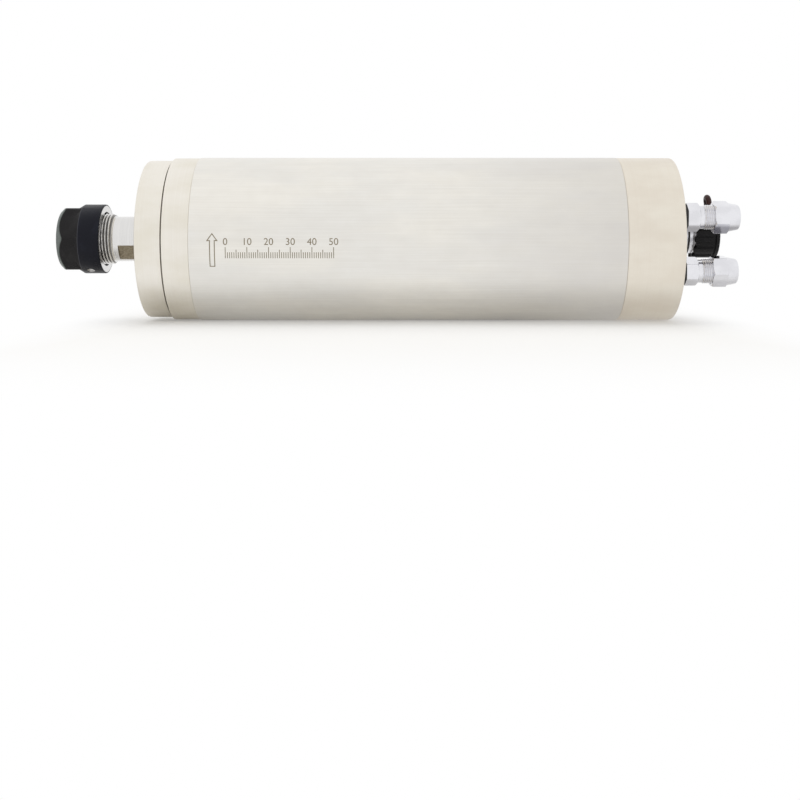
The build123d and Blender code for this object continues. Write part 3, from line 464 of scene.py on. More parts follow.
def rubber(light, dark, rough):
    """Rubber between two tones, with fine dust and larger worn patches."""

    def recipe(bench):
        dust = bench.grain((1.2, 1.2, 1.2), detail=5.0)
        wear = bench.grain((7.0, 5.0, 5.0), detail=3.0).between(0.4, 0.75)
        return {
            "Base Color": bench.blend(wear * 0.6 + dust * 0.4, dark, light),
            "Roughness": rough + dust * 0.2,
            "Normal": bench.bump(dust, 0.03, 0.35),
        }

    return recipe


cap_recipe = rubber(colour(22, 21, 22), colour(9, 9, 11), 0.45)
seal_recipe = rubber(colour(26, 23, 22), colour(13, 12, 12), 0.45)
loop_recipe = rubber(colour(66, 36, 31), colour(34, 18, 16), 0.35)
cap_rubber = finish("cap_rubber", cap_recipe, Specular_IOR_Level=0.25)
seal_rubber = finish("seal_rubber", seal_recipe)
loop_rubber = finish("loop_rubber", loop_recipe, Specular_IOR_Level=0.3)
print("rubbers:", cap_rubber.name, seal_rubber.name, loop_rubber.name)

# %% Etched marks


def marked(bench):
    """Steel burnt brown, in fine spots."""
    burn = bench.grain((0.5, 0.5, 0.5), detail=4.0)
    tone = bench.blend(burn.between(0.3, 0.7), colour(150, 139, 116), colour(118, 106, 84))
    return {"Base Color": tone, "Roughness": 0.5 + burn * 0.25, "Normal": bench.bump(burn, 0.01, 0.4)}


etched = finish("etched_mark", marked, Metallic=0.35)
print("marks:", etched.name)

# %% [markdown]
# ## Surfaces as functions
#
# Nearly every piece here came off a lathe, so nearly every surface is a profile carried round a
# line parallel to X. A hexagon, a thread and a ribbed cap are the same thing with a radius that
# also depends on the angle. Three helpers are enough: one rounds a profile's corners, one carries
# the rows round and closes the skin, and one drills holes.

# %% Rounding a profile's corners
turns = 360
degrees = np.arange(turns) * 360.0 / turns
radians = np.radians(degrees)


def softened(corners, steps=6):
    """Rows of a profile, front to rear on the outside, with rounded corners.

    Each corner is (x, radius) or (x, radius, size), and x and radius may be one number or one per
    angle. A corner P with a size becomes the curve (1-s)^2 A + 2 s (1-s) P + s^2 B, where A and B
    lie that size before and after it. A row beside each curve keeps the shading of flats flat.
    """
    place = np.array([[np.broadcast_to(c[0], turns), np.broadcast_to(c[1], turns)] for c in corners], float)
    rows = []
    for number, corner in enumerate(corners):
        here = place[number]
        size = corner[2] if len(corner) > 2 else 0.0
        if not size:
            rows.append(here[None])
            continue
        ways = []
        for neighbour in (place[number - 1], place[(number + 1) % len(corners)]):
            gap = neighbour - here
            length = np.maximum(np.hypot(gap[0], gap[1]), 1e-6)
            ways.append(gap * np.minimum(size / length, 0.4))
        s = np.linspace(0.0, 1.0, steps)[:, None, None]
        curve = here + (1 - s) ** 2 * ways[0] + s**2 * ways[1]
        rows += [here[None] + 1.2 * ways[0], curve, here[None] + 1.2 * ways[1]]
    return np.concatenate(rows)


print("rows of a profile with one round corner:", len(softened([(0, 1), (0, 2, 0.1), (1, 2)])))

# %% Threads and hexagons


def thread(x0, x1, crest, depth, pitch):
    """Rows of a screw thread: the root plus the depth times a ridge of x / pitch - angle / turn.

    The ridge is a triangle wave whose crest and root are cut flat, and it fades out at both ends.
    """
    x = np.linspace(x0, x1, int((x1 - x0) / pitch * 16) + 1)[:, None]
    along = (x / pitch - degrees / 360.0) % 1.0
    ridge = np.clip(1.35 * (1.0 - np.abs(2 * along - 1.0)) - 0.12, 0.0, 1.0)
    fade = np.clip(np.minimum(x - x0, x1 - x) / (0.7 * pitch), 0.0, 1.0)
    radius = crest - depth + depth * ridge * fade
    return np.stack([np.broadcast_to(x, radius.shape), radius], axis=1)


def hexagon(across, turn=0.0):
    """The radius of a hexagon at each angle, with its six edges broken a little.

    It is half the width across the flats over the cosine of the angle from the nearest flat.
    """
    from_flat = np.radians((degrees - turn) % 60.0 - 30.0)
    return np.minimum(across / 2 / np.cos(from_flat), across / math.sqrt(3) * 0.988)


print("a hexagon 12 mm across is %.2f mm over its edges" % (2 * hexagon(12.0).max()))

# %% Carrying rows round an axis, and closing the skin


def grid_round(rows, centre=(0.0, 0.0)):
    """Points (x, centre y + r cos a, centre z + r sin a) for rows of (x, r) at each angle a."""
    x, r = rows[:, 0], rows[:, 1]
    return np.stack([x, centre[0] + r * np.cos(radians), centre[1] + r * np.sin(radians)], axis=-1)


def skin(name, grids, body, paint, nodes=(), closed=True, sharp=34.0):
    """One piece from grids of points, each closed round its columns and, if asked, its rows."""
    points, faces, start = [], [], 0
    for grid in grids:
        index = start + np.arange(grid.shape[0] * grid.shape[1]).reshape(grid.shape[:2])
        if closed:
            index = np.vstack([index, index[:1]])
        beside = np.roll(index, -1, axis=1)
        quads = np.stack([index[:-1], beside[:-1], beside[1:], index[1:]], axis=-1)
        faces.append(quads.reshape(-1, 4))
        points.append(grid.reshape(-1, 3) * MM)
        start += len(points[-1])
    mesh = bpy.data.meshes.new(name)
    mesh.from_pydata(np.concatenate(points), [], np.concatenate(faces))
    return settle(name, mesh, body, paint, nodes, sharp)


def settle(name, mesh, body, paint, nodes=(), sharp=34.0):
    """Merge doubles, set the shading, paint the mesh and put it on its body."""
    work = bmesh.new()
    work.from_mesh(mesh)
    bmesh.ops.remove_doubles(work, verts=work.verts, dist=2e-7)
    work.to_mesh(mesh)
    work.free()
    mesh.shade_smooth()
    mesh.set_sharp_from_angle(angle=math.radians(sharp))
    mesh.materials.clear()
    mesh.materials.append(paint)
    piece = bpy.data.objects.new(name, mesh)
    bpy.context.scene.collection.objects.link(piece)
    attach(piece, body)
    if nodes:
        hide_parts(*nodes)
    return piece


print("columns of points round each axis:", turns)

# %% Drilling holes


def drilled(piece, holes, sharp=34.0):
    """Cut round holes in a piece, each (start, end, radius), in one step.

    A rim point is the start or the end plus the radius times (u cos a + v sin a), where u and v
    are square to the hole's line and to each other.
    """
    steps = 48
    angle = np.linspace(0, 2 * np.pi, steps + 1)[:-1, None]
    points, faces = [], []
    for start, end, radius in holes:
        line = np.subtract(end, start) / np.linalg.norm(np.subtract(end, start))
        u = np.cross(line, (0.3, 0.5, 0.8))
        u /= np.linalg.norm(u)
        rim = radius * (np.cos(angle) * u + np.sin(angle) * np.cross(line, u))
        points.append(np.concatenate([rim + start, rim + end]) * MM)
        low = np.arange(steps) + 2 * steps * len(faces)
        after = np.roll(low, -1)
        sides = np.stack([low, after, after + steps, low + steps], axis=-1).tolist()
        faces.append(sides + [low[::-1].tolist(), (low + steps).tolist()])
    cutter_mesh = bpy.data.meshes.new("drill")
    cutter_mesh.from_pydata(np.concatenate(points).tolist(), [], [f for group in faces for f in group])
    cutter = bpy.data.objects.new("drill", cutter_mesh)
    bpy.context.scene.collection.objects.link(cutter)
    cut = piece.modifiers.new("holes", "BOOLEAN")
    cut.object, cut.operation, cut.solver = cutter, "DIFFERENCE", "EXACT"
    ready = piece.evaluated_get(bpy.context.evaluated_depsgraph_get())
    mesh = bpy.data.meshes.new_from_object(ready)
    piece.modifiers.clear()
    old, piece.data = piece.data, mesh
    bpy.data.meshes.remove(old)
    bpy.data.objects.remove(cutter)
    bpy.data.meshes.remove(cutter_mesh)
    mesh.shade_smooth()
    mesh.set_sharp_from_angle(angle=math.radians(sharp))


def along_x(x0, x1, radius, centre):
    """A hole parallel to X."""
    return (x0, *centre), (x1, *centre), radius


print("a hole's start, end and radius:", *along_x(0.0, 4.0, 1.0, inlet))

# %% [markdown]
# ## The casing
#
# The tube is a plain stainless sleeve. In front of it shows the ring of the bearing housing, and
# in front of that the cap, a little smaller, with its four screws sunk in the face. Between cap
# and ring there is a narrow groove, its floor painted dark as shade. The rear cap is deep, with a
# hollow for the leads. Tube, housing and front cap are closed profiles: the outside from front to
# rear, then the bore back to the front, so that their normals point outwards. The rear cap has no
# bore, so its profile begins and ends on the axis.

# %% Tube and front ring
tube_front, tube_rear, tube_r = -101.75, 101.75, 39.985
bore_r, spigot_r = 38.0, 37.98
tube = skin("tube_skin", [grid_round(softened([
    (tube_front, bore_r), (tube_front, tube_r, 0.35), (tube_rear, tube_r, 0.35), (tube_rear, bore_r),
]))], "housing", tube_steel, ["body_tube"])

ring_r = 39.7
housing = skin("front_housing_skin", [grid_round(softened([
    (ring_front, 23.52), (ring_front, ring_r, 0.3), (tube_front, ring_r, 0.35), (tube_front, spigot_r),
    (-91.5, spigot_r), (-91.5, 35.98), (-89.5, 35.98), (-89.5, spigot_r), (-81.25, spigot_r),
    (-81.25, 20.6), (-84.25, 20.6), (-84.25, 23.52),
]))], "housing", cap_metal, ["front_bearing_housing"])
print("casing:", tube.name, housing.name)

# %% Front cap with its four counterbores
cap_front, seam_front = -127.25, ring_front - seam_width
seam_floor = cap_r - 1.4
front_seat, rear_seat, counterbore_r = -122.25, 123.75, 3.7
screw_angles = np.radians(45.0 + 90.0 * np.arange(4))
front_screws = [(31.5 * math.cos(a), 31.5 * math.sin(a)) for a in screw_angles]
rear_screws = [(35.6 * math.cos(a), 35.6 * math.sin(a)) for a in screw_angles]
front_cap = skin("front_cap_skin", [grid_round(softened([
    (cap_front, 14.8, 0.3), (cap_front, cap_r, 1.3), (seam_front, cap_r, 0.3), (seam_front, seam_floor),
    (ring_front, seam_floor), (ring_front, 23.4),
    (-112.25, 23.4), (-112.25, 20.6), (-115.25, 20.6), (-115.25, 14.8),
]))], "housing", cap_metal, ["front_end_cap"])
drilled(front_cap, [along_x(-130.0, front_seat, counterbore_r, centre) for centre in front_screws])
print("front cap faces:", len(front_cap.data.polygons))

# %% Rear cap, open at the front, with counterbores and the ports' holes
rear_face, rear_r, cavity_r, cavity_end = 128.75, 39.85, 31.5, 120.75
rear_cap = skin("rear_cap_skin", [grid_round(softened([
    (cavity_end, 0.0), (cavity_end, cavity_r), (tube_rear, cavity_r), (tube_rear, rear_r, 0.4),
    (rear_face, rear_r, 1.3), (rear_face, 0.0),
]))], "housing", cap_metal, ["rear_end_cap"], closed=False)
port_r = 4.82
drilled(rear_cap, [along_x(rear_seat, 131.0, counterbore_r, centre) for centre in rear_screws] + [
    along_x(119.0, 131.0, radius, centre)
    for radius, centre in ((port_r, inlet), (port_r, outlet), (9.0, connector))
])
print("rear cap faces:", len(rear_cap.data.polygons))

# %% Cap screws


def cap_screw(x_seat, length, towards):
    """Rows of a socket-head screw: a hexagonal recess, a knurled head and a plain shank.

    The head's radius is 3.45 plus 0.05 times the cosine of 48 times the angle.
    """
    knurl = 3.45 + 0.05 * np.cos(48 * radians)
    top, floor, socket, shank = -4.0, -2.0, hexagon(3.0), 2.0
    corners = [
        (floor, 0.0), (floor, socket), (top + 0.2, socket), (top, socket + 0.2), (top, 3.0),
        (top + 0.4, knurl), (-0.15, knurl), (0.0, 3.3), (0.0, shank), (length, shank), (length, 0.0),
    ]
    if towards < 0:
        corners = [(-x, r) for x, r in corners[::-1]]
    return softened([(x_seat + x, r) for x, r in corners])


for name, seat, length, towards, centres in (
    ("front", front_seat, 20.0, 1, front_screws), ("rear", rear_seat, 30.0, -1, rear_screws),
):
    skin(name + "_cap_screw_heads", [grid_round(cap_screw(seat, length, towards), c) for c in centres],
         "housing", zinc, [name + "_cap_screws"], closed=False)
print("screws:", len(front_screws) + len(rear_screws))

# %% [markdown]
# ## Shaft, slinger and nut
#
# The neck between the cap and the nut shows the end of the nut's thread and two wrench flats. The
# thread is a real helix in the mesh. The flats are where the radius is held to half the width
# across them. The nut is a hexagon that is chamfered at its front by a cone, and at its rear runs
# into the cone of the collar: for each angle these end where the cone meets the hexagon, so both
# edges are exact and need no cutting. The small drilling that balances the nut is cut.

# %% Spindle shaft
flat_turn, half_across = 41.0, 10.0
to_flat = np.abs(np.cos(np.radians(degrees - flat_turn)))
flat_r = np.minimum(neck_r, half_across / np.maximum(to_flat, 1e-3))
shaft_rows = np.concatenate([
    softened([
        (-132.2, 0.0), (-136.0, 6.804), (-162.5, 10.528),
        (-162.5, 11.6, 0.2), (-161.7, 11.58),
    ]),
    thread(*shaft_thread, crest=12.48, depth=0.92, pitch=1.5),
    softened([
        (-144.1, 11.58), (-143.6, neck_r), (flat_start, neck_r), (flat_start, flat_r),
        (flat_end, flat_r), (flat_end, neck_r), (-116.5, neck_r), (-116.5, 14.5, 0.3),
        (-112.25, 14.5), (-112.25, 12.5), (-84.25, 12.5), (-84.25, 12.0), (-77.25, 12.0),
        (-55.0, 11.7), (-55.0, 10.0), (52.0, 10.0), (52.0, 9.0), (84.0, 9.0), (84.0, 7.5),
        (93.0, 7.5), (93.0, 7.0), (100.5, 7.0, 0.5), (100.5, 0.0),
    ]),
])
shaft = skin("shaft_skin", [grid_round(shaft_rows)], "rotor", shaft_steel,
             ["spindle_shaft"], closed=False)
skin("slinger_skin", [grid_round(softened([
    (-129.85, 11.02), (-129.85, 24.3, 0.4), (-127.55, 24.3, 0.3), (-127.55, 14.0), (-121.55, 14.0),
    (-121.55, 11.02),
]))], "rotor", cap_metal, ["front_slinger"])
print("shaft faces:", len(shaft.data.polygons))

# %% Collet nut
hex_end, nut_flat, crest_bore = -162.4, 15.0, 12.6
nut_hex = np.minimum(hexagon(2 * nut_flat), collar_r)
chamfer_end = nose + np.maximum(nut_hex - chamfer_r, 0.0)
cone_start = hex_end + (nut_hex - nut_flat) / (collar_r - nut_flat) * (collar_front - hex_end)
nut = skin("collet_nut_skin", [grid_round(softened([
    (nose, 9.1, 0.25), (nose, chamfer_r, 0.3), (chamfer_end, nut_hex, 0.3), (cone_start, nut_hex),
    (collar_front + 0.05, collar_r), (nut_rear, collar_r, 0.5), (nut_rear, 13.4), (-149.8, crest_bore),
    (-162.6, crest_bore), (-162.6, 9.3), (-165.0, 9.3), (-165.0, 10.6), (-166.3, 10.6),
]))], "collet_nut", oxide, ["collet_nut"])
drill_floor_point, drill_mouth = [
    (drill_x, 0, 0) + reach * np.array((0.0, *drill_way)) for reach in (drill_floor, collar_r + 3.0)
]
drilled(nut, [(drill_floor_point, drill_mouth, drill_r)])
print("nut faces:", len(nut.data.polygons))

# %% [markdown]
# ## Water fittings
#
# Each fitting is a nipple with a hexagon at the cap, a short neck and a thread, and a nut that
# clamps the hose: a hexagon with bevelled corners and a collar that narrows to the hose. The two
# nipples and the two nuts are screwed home at different angles, as they are in the picture.

# %% A nipple and a hose nut
hex_seat = 132.35


def nipple(turn):
    """Rows of a fitting's body, its hexagon bevelled only at the rear."""
    across, rear, bevel = 12.1, 138.25, 0.6
    hexed, corner = hexagon(across, turn), across / math.sqrt(3)
    return np.concatenate([
        softened([
            (116.75, 2.0), (116.75, 4.8), (hex_seat, 4.8), (hex_seat, hexed, 0.15),
            (rear - bevel + (corner - hexed) * bevel, hexed, 0.2), (rear, np.minimum(hexed, corner - 1.0)),
            (rear, 5.5), (140.15, 5.5), (140.25, 5.3),
        ]),
        thread(140.3, 149.4, crest=5.89, depth=0.42, pitch=1.0),
        softened([(149.45, 4.9), (149.45, 2.9), (155.45, 2.9, 0.4), (155.45, 2.0)]),
    ])


def hose_nut(turn):
    """Rows of a hose nut: hexagon, collar, and inside it the hose's way and the thread's bore."""
    across, front, rear, bevel, bore, way = 13.8, 145.0, 152.0, 0.9, 6.0, 4.1
    hexed, corner = hexagon(across, turn), across / math.sqrt(3)
    depth = np.maximum(hexed - corner + bevel, 0.0) * 0.5 / bevel
    low = np.minimum(hexed, corner - bevel)
    return softened([
        (front, bore), (front, low, 0.15), (front + depth, hexed, 0.15), (rear - depth, hexed, 0.15),
        (rear, low, 0.15), (rear, 6.9), (156.7, 6.0, 0.4), (157.2, 5.5, 0.3), (157.2, way, 0.3),
        (151.69, way), (151.69, bore),
    ])


print("rows: nipple %d, hose nut %d" % (len(nipple(0)), len(hose_nut(0))))

# %% Both fittings and their seals
for name, centre, paint, body_turn, nut_turn in (
    ("inlet", inlet, inlet_nickel, 35, 23), ("outlet", outlet, outlet_nickel, 32, 9),
):
    skin(name + "_nipple_skin", [grid_round(nipple(body_turn), centre)], "housing",
         paint, [name + "_fitting"])
    skin(name + "_nut_skin", [grid_round(hose_nut(nut_turn), centre)], name + "_nut",
         paint, [name + "_nut"])
seal_r = 6.6
seal = softened([
    (rear_face, port_r), (rear_face, seal_r, 0.35), (hex_seat, seal_r, 0.35), (hex_seat, port_r),
])
skin("fitting_seal_rings", [grid_round(seal, c) for c in (inlet, outlet)], "housing",
     seal_rubber, ["fitting_seals"])
print("fittings: 2, with nuts and seals")

# %% [markdown]
# ## Connector and its rubber cap
#
# The plug screws on a threaded barrel with a square flange. In the picture a ribbed rubber cap
# covers it. The flange's outline is a square with round corners, written as a radius at each
# angle, so the flange and the barrel are one turned skin. The cap's ribs are the same trick: a
# smooth pulse twelve times round, which lifts the radius and lets each rib run past the rim.

# %% A square with round corners


def rounded_square(side, corner):
    """The radius of a square with round corners at each angle.

    On a side it is half the side over the larger of |cos| and |sin|. On a corner it is
    b + sqrt(b^2 - 2 m^2 + c^2), where m is half the side less c, and b is m (|cos| + |sin|).
    """
    c, s = np.abs(np.cos(radians)), np.abs(np.sin(radians))
    m = side / 2 - corner
    straight = side / 2 / np.maximum(c, s)
    b = m * (c + s)
    arc = b + np.sqrt(np.maximum(b**2 - 2 * m**2 + corner**2, 0.0))
    return np.where(np.minimum(c, s) * straight > m, arc, straight)


square = rounded_square(side=28.0, corner=4.0)
print("flange radius from %.2f to %.2f mm" % (square.min(), square.max()))

# %% Flange, gasket and barrel
flange_front, flange_rear, barrel_r = 129.55, 131.75, 9.98
barrel_rows = np.concatenate([
    softened([
        (121.25, 8.2), (121.25, 8.9), (flange_front, 8.9), (flange_front, square, 0.2),
        (flange_rear, square, 0.3), (flange_rear, barrel_r), (142.0, barrel_r, 0.2), (142.1, 9.5),
    ]),
    thread(142.2, 152.0, crest=barrel_r, depth=0.5, pitch=1.0),
    softened([(152.25, 9.3), (152.25, 8.2, 0.2)]),
])
skin("connector_shell_skin", [grid_round(barrel_rows, connector)], "housing", nickel,
     ["connector_socket"])
skin("connector_gasket_skin", [grid_round(softened([
    (rear_face, 8.92), (rear_face, square), (flange_front, square), (flange_front, 8.92),
]), connector)], "housing", seal_rubber, ["connector_gasket"])
skin("connector_washer_skin", [grid_round(softened([
    (139.45, 10.02), (139.45, 10.5, 0.2), (140.35, 10.5, 0.2), (140.35, 10.02),
]), connector)], "housing", seal_rubber, ["connector_washer"])
print("connector: shell, gasket, washer")

# %% Ribbed cap
ribs = 12
rib_pitch = 360.0 / ribs
from_rib = np.abs(degrees % rib_pitch - rib_pitch / 2)
rib = np.clip((7.9 - from_rib) / 2.2, 0.0, 1.0)
rib = rib * rib * (3 - 2 * rib)
rim = 142.5 + 1.1 * (1 - rib)
valley_r, crown_r, rib_end, cap_end = 11.5, 12.2, 152.3, 155.0
ribbed = valley_r + (crown_r - valley_r) * rib
cap_rows = softened([
    (153.0, 0.0), (153.0, 10.2), (rim, 10.2, 0.15), (rim, ribbed, 0.25), (rib_end, ribbed, 0.2),
    (rib_end, valley_r), (153.1, valley_r), (153.1, crown_r, 0.3), (cap_end, crown_r, 0.6), (cap_end, 0.0),
])
skin("dust_cap_skin", [grid_round(cap_rows, connector)], "dust_cap", cap_rubber,
     ["dust_cap"], closed=False)
print("cap:", ribs, "ribs")

# %% Carry loop


def carry_loop(x, half, foot, top, radius):
    """A round bar along an arch: up one leg, round a half circle of the half width, down the other.

    A point is the path's point plus the bar's radius times (cos b across + sin b X), where
    'across' is square to the path in the arch's plane, and the bar closes to a point at each end.
    The soft arch leans forward by a share of its height above its feet.
    """
    lean = 0.14
    s = np.linspace(0.0, np.pi, 33)
    y = np.concatenate([[-half, -half], -half * np.cos(s), [half, half]])
    z = np.concatenate([[foot, foot], top + half * np.sin(s), [foot, foot]])
    heading = np.concatenate([[0, 0], s, [np.pi, np.pi]])
    size = np.concatenate([[0.0], np.full(len(y) - 2, radius), [0.0]])
    b = radians[None, ::8]
    across = size[:, None] * np.cos(b)
    return np.stack([
        x - lean * (z - foot)[:, None] + size[:, None] * np.sin(b),
        connector[0] + y[:, None] - across * np.cos(heading)[:, None],
        connector[1] + z[:, None] + across * np.sin(heading)[:, None],
    ], axis=-1)


arch = carry_loop(rib_end, half=2.3, foot=10.5, top=16.05, radius=1.45)
skin("carry_loop_skin", [arch], "dust_cap", loop_rubber, closed=False)
print("points of the loop:", arch.shape[0] * arch.shape[1])

# %% [markdown]
# ## Marks on the tube
#
# Near the nose a turning arrow and some lettering are etched in the steel. The arrow stays. In
# place of the lettering there is a plain depth scale in millimetres, for setting how far the
# spindle stands out of its clamp. Each mark is a thin sheet of its own, bent round the tube a
# hundredth of a millimetre above it, because a mark this fine would need a huge texture.

# %% Bending flat marks round the tube
mark_r = 39.997


def bent(points):
    """Flat (x, height) points carried to the tube's front: the height is an arc of the circle."""
    angle = points[:, 1] / mark_r
    return np.stack([points[:, 0], -mark_r * np.cos(angle), mark_r * np.sin(angle)], axis=-1)


def stroke(outline, width, steps=12):
    """A closed line of even width: each corner moves along its mitre, half the width each way."""
    corner = np.array(outline, float)
    ahead, behind = np.roll(corner, -1, axis=0) - corner, corner - np.roll(corner, 1, axis=0)
    ahead /= np.linalg.norm(ahead, axis=1)[:, None]
    behind /= np.linalg.norm(behind, axis=1)[:, None]
    normal = np.stack([-(ahead + behind)[:, 1], (ahead + behind)[:, 0]], axis=-1)
    normal /= np.linalg.norm(normal, axis=1)[:, None]
    square_to_edge = np.stack([-ahead[:, 1], ahead[:, 0]], axis=-1)
    mitre = normal / np.maximum(np.abs((normal * square_to_edge).sum(axis=1)), 0.3)[:, None]
    s = np.linspace(0, 1, steps, endpoint=False)[None, :, None]
    sides = []
    for side in (-0.5, 0.5):
        edge = corner + side * width * mitre
        sides.append(((1 - s) * edge[:, None] + s * np.roll(edge, -1, axis=0)[:, None]).reshape(-1, 2))
    return sides


print("marks lie %.3f mm above the tube" % (mark_r - tube_r))

# %% Turning arrow
arrow_x, arrow_top, arrow_foot, stem, barb = -90.6, 2.4, -12.9, 1.1, 2.3
shoulder = arrow_top - 3.2
arrow = [
    (arrow_x, arrow_top), (arrow_x - barb, shoulder), (arrow_x - stem, shoulder),
    (arrow_x - stem, arrow_foot), (arrow_x + stem, arrow_foot), (arrow_x + stem, shoulder),
    (arrow_x + barb, shoulder),
]
inner, outer = stroke(arrow, width=0.42)
count = len(inner)
low, ahead = np.arange(count), (np.arange(count) + 1) % count
arrow_mesh = bpy.data.meshes.new("turning_arrow")
arrow_mesh.from_pydata(
    bent(np.concatenate([inner, outer])) * MM, [], np.stack([low, ahead, ahead + count, low + count], -1)
)
settle("turning_arrow", arrow_mesh, "housing", etched)
print("arrow faces:", count)

# %% Ticks of the depth scale
scale_x, scale_foot, scale_length, half_tick = -84.5, -9.0, 50, 0.17
levels = 7                              # rows of points along a tick, so that it bends smoothly
ticks, tick_faces = [], []
for number in range(scale_length + 1):
    height = 5.2 if number % 10 == 0 else 4.0 if number % 5 == 0 else 2.8
    s = np.linspace(0.0, height, levels)
    for side in (-half_tick, half_tick):
        ticks.append(np.stack([0 * s + (scale_x + number + side), scale_foot + s], -1))
    low = np.arange(levels - 1) + 2 * levels * number
    tick_faces.append(np.stack([low, low + levels, low + levels + 1, low + 1], -1))
tick_mesh = bpy.data.meshes.new("depth_ticks")
tick_mesh.from_pydata(bent(np.concatenate(ticks)) * MM, [], np.concatenate(tick_faces))
settle("depth_ticks", tick_mesh, "housing", etched)
print("ticks:", scale_length + 1)

# %% Numbers of the depth scale


def numeral(text, x, height, size):
    """A number made a mesh, cut into strips half a millimetre high, and bent round the tube."""
    curve = bpy.data.curves.new("numeral", "FONT")
    curve.body, curve.size, curve.align_x = text, size, "CENTER"
    holder = bpy.data.objects.new("numeral", curve)
    bpy.context.scene.collection.objects.link(holder)
    bpy.context.view_layer.update()
    mesh = bpy.data.meshes.new_from_object(holder.evaluated_get(bpy.context.evaluated_depsgraph_get()))
    bpy.data.objects.remove(holder)
    work = bmesh.new()
    work.from_mesh(mesh)
    for level in np.arange(-0.5, size, 0.5):
        geometry = work.verts[:] + work.edges[:] + work.faces[:]
        bmesh.ops.bisect_plane(work, geom=geometry, plane_co=(0, level, 0), plane_no=(0, 1, 0))
    work.to_mesh(mesh)
    work.free()
    flat = np.empty(len(mesh.vertices) * 3)
    mesh.vertices.foreach_get("co", flat)
    flat = flat.reshape(-1, 3)[:, :2] + (x, height)
    mesh.vertices.foreach_set("co", (bent(flat) * MM).ravel())
    mesh.update()
    settle("depth_number_" + text, mesh, "housing", etched)


numbers = range(0, scale_length + 1, 10)
for number in numbers:
    numeral(str(number), scale_x + number, scale_foot + 6.2, size=4.6)
print("numbers:", len(numbers))

# %% [markdown]
# ## What is inside
#
# The hidden pieces keep the construction model's own shapes: bearings, laminations, windings,
# the water jacket. They still get real finishes, because the part can be opened or cut away.

# %% Laminations and windings


def laminated(bench):
    """Sheets of steel half a millimetre thick, stacked along X, with a little rust."""
    x, *_ = separated(bench)
    sheets = (x * (2 * math.pi / 0.5)).math("SINE") * 0.5 + 0.5
    rust = bench.grain((4.0, 3.0, 3.0), detail=4.0).between(0.5, 0.8)
    tone = bench.blend(sheets, colour(120, 121, 126), colour(160, 161, 165))
    return {
        "Base Color": bench.blend(rust * 0.4, tone, colour(122, 98, 78)),
        "Roughness": 0.42 + sheets * 0.15,
        "Normal": bench.bump(sheets, 0.04, 0.5),
    }


def wound(bench):
    """Copper wires side by side, under an uneven coat of varnish."""
    _, y, z = separated(bench)
    wires = ((y + z) * (2 * math.pi / 0.9)).math("SINE") * 0.5 + 0.5
    varnish = bench.grain((3.0, 3.0, 3.0), detail=4.0)
    tone = bench.blend(wires, colour(150, 78, 40), colour(205, 125, 72))
    return {
        "Base Color": bench.blend(varnish * 0.5, tone, colour(120, 60, 30)),
        "Roughness": 0.25 + varnish * 0.2,
        "Normal": bench.bump(wires, 0.15, 0.6),
    }


laminations = finish("laminations", laminated, Metallic=0.9)
enamelled_copper = finish("enamelled_copper", wound, Metallic=0.7, Coat_Weight=0.3)
print("motor:", laminations.name, enamelled_copper.name)

# %% Moulded plastics, and one finish for each slot


def moulded(name, light, dark, rough):
    """A material of moulded plastic between two tones, with a fine grain."""

    def recipe(bench):
        grain = bench.grain((0.8, 0.8, 0.8), detail=4.0)
        return {
            "Base Color": bench.blend(grain.between(0.3, 0.7), colour(*dark), colour(*light)),
            "Roughness": rough + grain * 0.12,
            "Normal": bench.bump(grain, 0.01, 0.3),
        }

    return finish(name, recipe)


inside = {
    "jacket_metal": plain_metal("jacket_metal", (208, 208, 210), (176, 176, 180), 0.8, 0.3),
    "bearing_steel": plain_metal("bearing_steel", (226, 226, 228), (200, 200, 204), 0.3, 0.08),
    "spring_steel": plain_metal("spring_steel", (120, 124, 140), (84, 88, 104), 0.4, 0.25),
    "cage_aluminium": plain_metal("cage_aluminium", (206, 206, 208), (160, 160, 164), 1.5, 0.4),
    "brass_ferrule": plain_metal("brass_ferrule", (214, 184, 116), (176, 142, 78), 0.3, 0.22),
    "pin_gold": plain_metal("pin_gold", (236, 200, 118), (206, 166, 84), 0.4, 0.14),
    "lamination_steel": laminations,
    "winding_copper": enamelled_copper,
    "cage_resin": moulded("cage_resin", (196, 150, 92), (168, 120, 66), 0.38),
    "insulator": moulded("insulator", (52, 52, 55), (34, 34, 37), 0.36),
    "lead_insulation": moulded("lead_insulation", (190, 40, 32), (160, 28, 24), 0.28),
    "water_hose": moulded("water_tube", (190, 200, 212), (166, 178, 192), 0.2),
    "shaft_steel": shaft_steel,
    "collet_steel": collet_steel,
    "blackened_steel": oxide,
    "nickel_plating": nickel,
    "end_cap_metal": cap_metal,
    "stainless_tube": tube_steel,
    "black_rubber": seal_rubber,
    "screw_steel": zinc,
}
print("slots with a finish:", len(inside))

# %% Painting the construction model's nodes
for entry in frame["record"]["subparts"]:
    node = frame["nodes"][entry["node"]]
    paint = inside[entry["material_slot"]]
    if not len(node.material_slots):
        node.data.materials.append(paint)
    for holder in node.material_slots:
        holder.material = paint

# %% [markdown]
# ## Floor and light
#
# The picture is a studio shot on white: a white ground without an edge, soft light from above and
# in front, and a soft grey shadow under the tube. The floor is plain white paint near the spindle,
# where the shadow falls. Further out the camera sees an even white instead, and so does shiny
# metal on either side of the spindle, so that the picture fades into its ground and reflections
# stay clean. The sky is white for the same rays, and dimmer as a lamp.

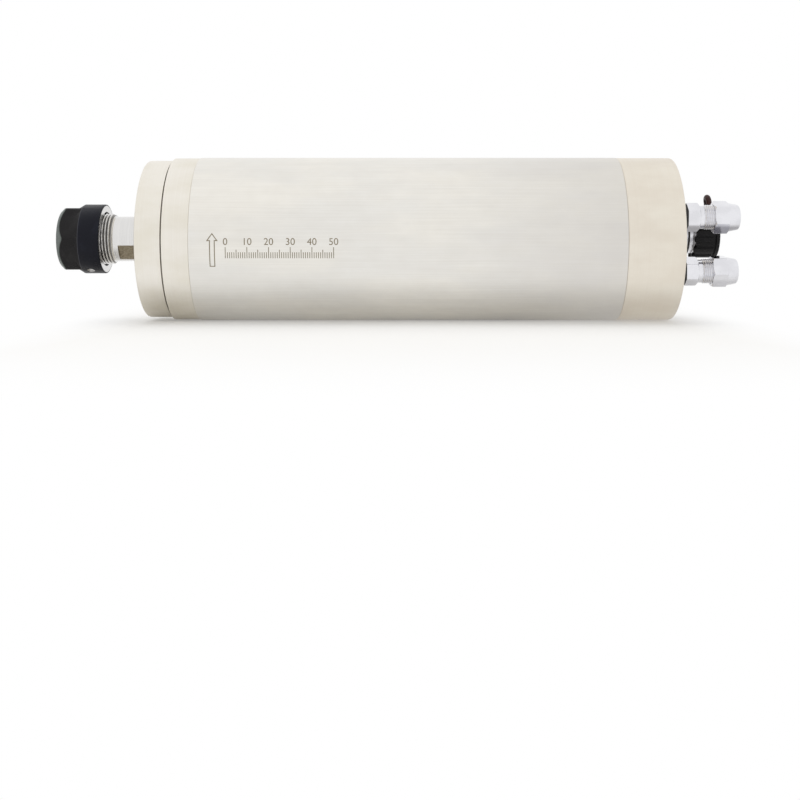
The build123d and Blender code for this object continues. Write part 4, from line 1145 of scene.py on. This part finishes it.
# %% A white ground
floor_z, half_floor = -40.05, 6000.0
floor_corners = [(-1, -1), (1, -1), (1, 1), (-1, 1)]
floor_mesh = bpy.data.meshes.new("floor")
floor_mesh.from_pydata(
    [(a * half_floor * MM, b * half_floor * MM, floor_z * MM) for a, b in floor_corners], [], [(0, 1, 2, 3)]
)
floor = bpy.data.objects.new("floor", floor_mesh)
bpy.context.scene.collection.objects.link(floor)
print("floor at", floor_z, "mm")

# %% Paint that keeps the shadow


def rays(bench):
    """Two wires, 1 for a ray from the camera, and for one that something shiny or clear sends on."""
    path = bench.add("ShaderNodeLightPath")
    return path, path.part(3).math("MAXIMUM", path.part(6))


floor_paint = bpy.data.materials.new("white_floor")
floor_paint.use_nodes = True
bench = Bench(floor_paint.node_tree)
x, y, _ = separated(bench)
from_camera, from_metal = rays(bench)
in_shadow = 0.25                        # the even white's share where the shadow is deepest
away = from_line(x * 0.8, y).between(100.0, 300.0)
ends = x.math("ABSOLUTE").between(100.0, 170.0)
for_camera = from_camera * (in_shadow + away * (1.0 - in_shadow)).math("MAXIMUM", ends)
near = 0.1 + x.between(-125.0, -75.0) * 0.1 + x.between(45.0, 126.0) * 0.25
beside = y.math("ABSOLUTE").between(16.0, 60.0)
for_metal = from_metal * (near + beside * (1.0 - near))
plain = bench.add("ShaderNodeBsdfDiffuse", None, {"Color": (0.93, 0.918, 0.892, 1.0)})
white = bench.add("ShaderNodeEmission", None, {"Color": (1.0, 1.0, 1.0, 1.0), "Strength": 1.0})
mix = bench.add("ShaderNodeMixShader", None, {0: for_camera.math("MAXIMUM", for_metal), 1: plain, 2: white})
bench.add("ShaderNodeOutputMaterial", None, {"Surface": mix})
floor_mesh.materials.append(floor_paint)
print("floor paint:", len(floor_paint.node_tree.nodes), "nodes")

# %% Sky
world = bpy.data.worlds.new("studio")
world.use_nodes = True
bpy.context.scene.world = world
bench = Bench(world.node_tree)
sky_light = 0.62
from_camera, from_metal = rays(bench)
strength = from_camera.math("MAXIMUM", from_metal).math("MAXIMUM", sky_light)
sky = bench.add("ShaderNodeBackground", None, {"Color": (1.0, 1.0, 1.0, 1.0), "Strength": strength})
bench.add("ShaderNodeOutputWorld", None, {"Surface": sky})
print("sky as a lamp:", sky_light)

# %% Lamps


def soft_lamp(name, place, size, power):
    """A square lamp turned to the origin: place in millimetres, size in metres, power in watts."""
    lamp = bpy.data.lights.new(name, "AREA")
    lamp.shape, lamp.size, lamp.energy = "SQUARE", size, power
    holder = bpy.data.objects.new(name, lamp)
    holder.location = np.array(place) * MM
    holder.rotation_euler = holder.location.to_track_quat("Z", "Y").to_euler()
    holder.visible_glossy = False
    bpy.context.scene.collection.objects.link(holder)


soft_lamp("overhead", (-20, 200, 900), size=1.3, power=5.35)
soft_lamp("front_fill", (-350, -900, 350), size=0.7, power=1.6)
bpy.context.scene.view_settings.view_transform = "Standard"
print("lamps: overhead and front fill")
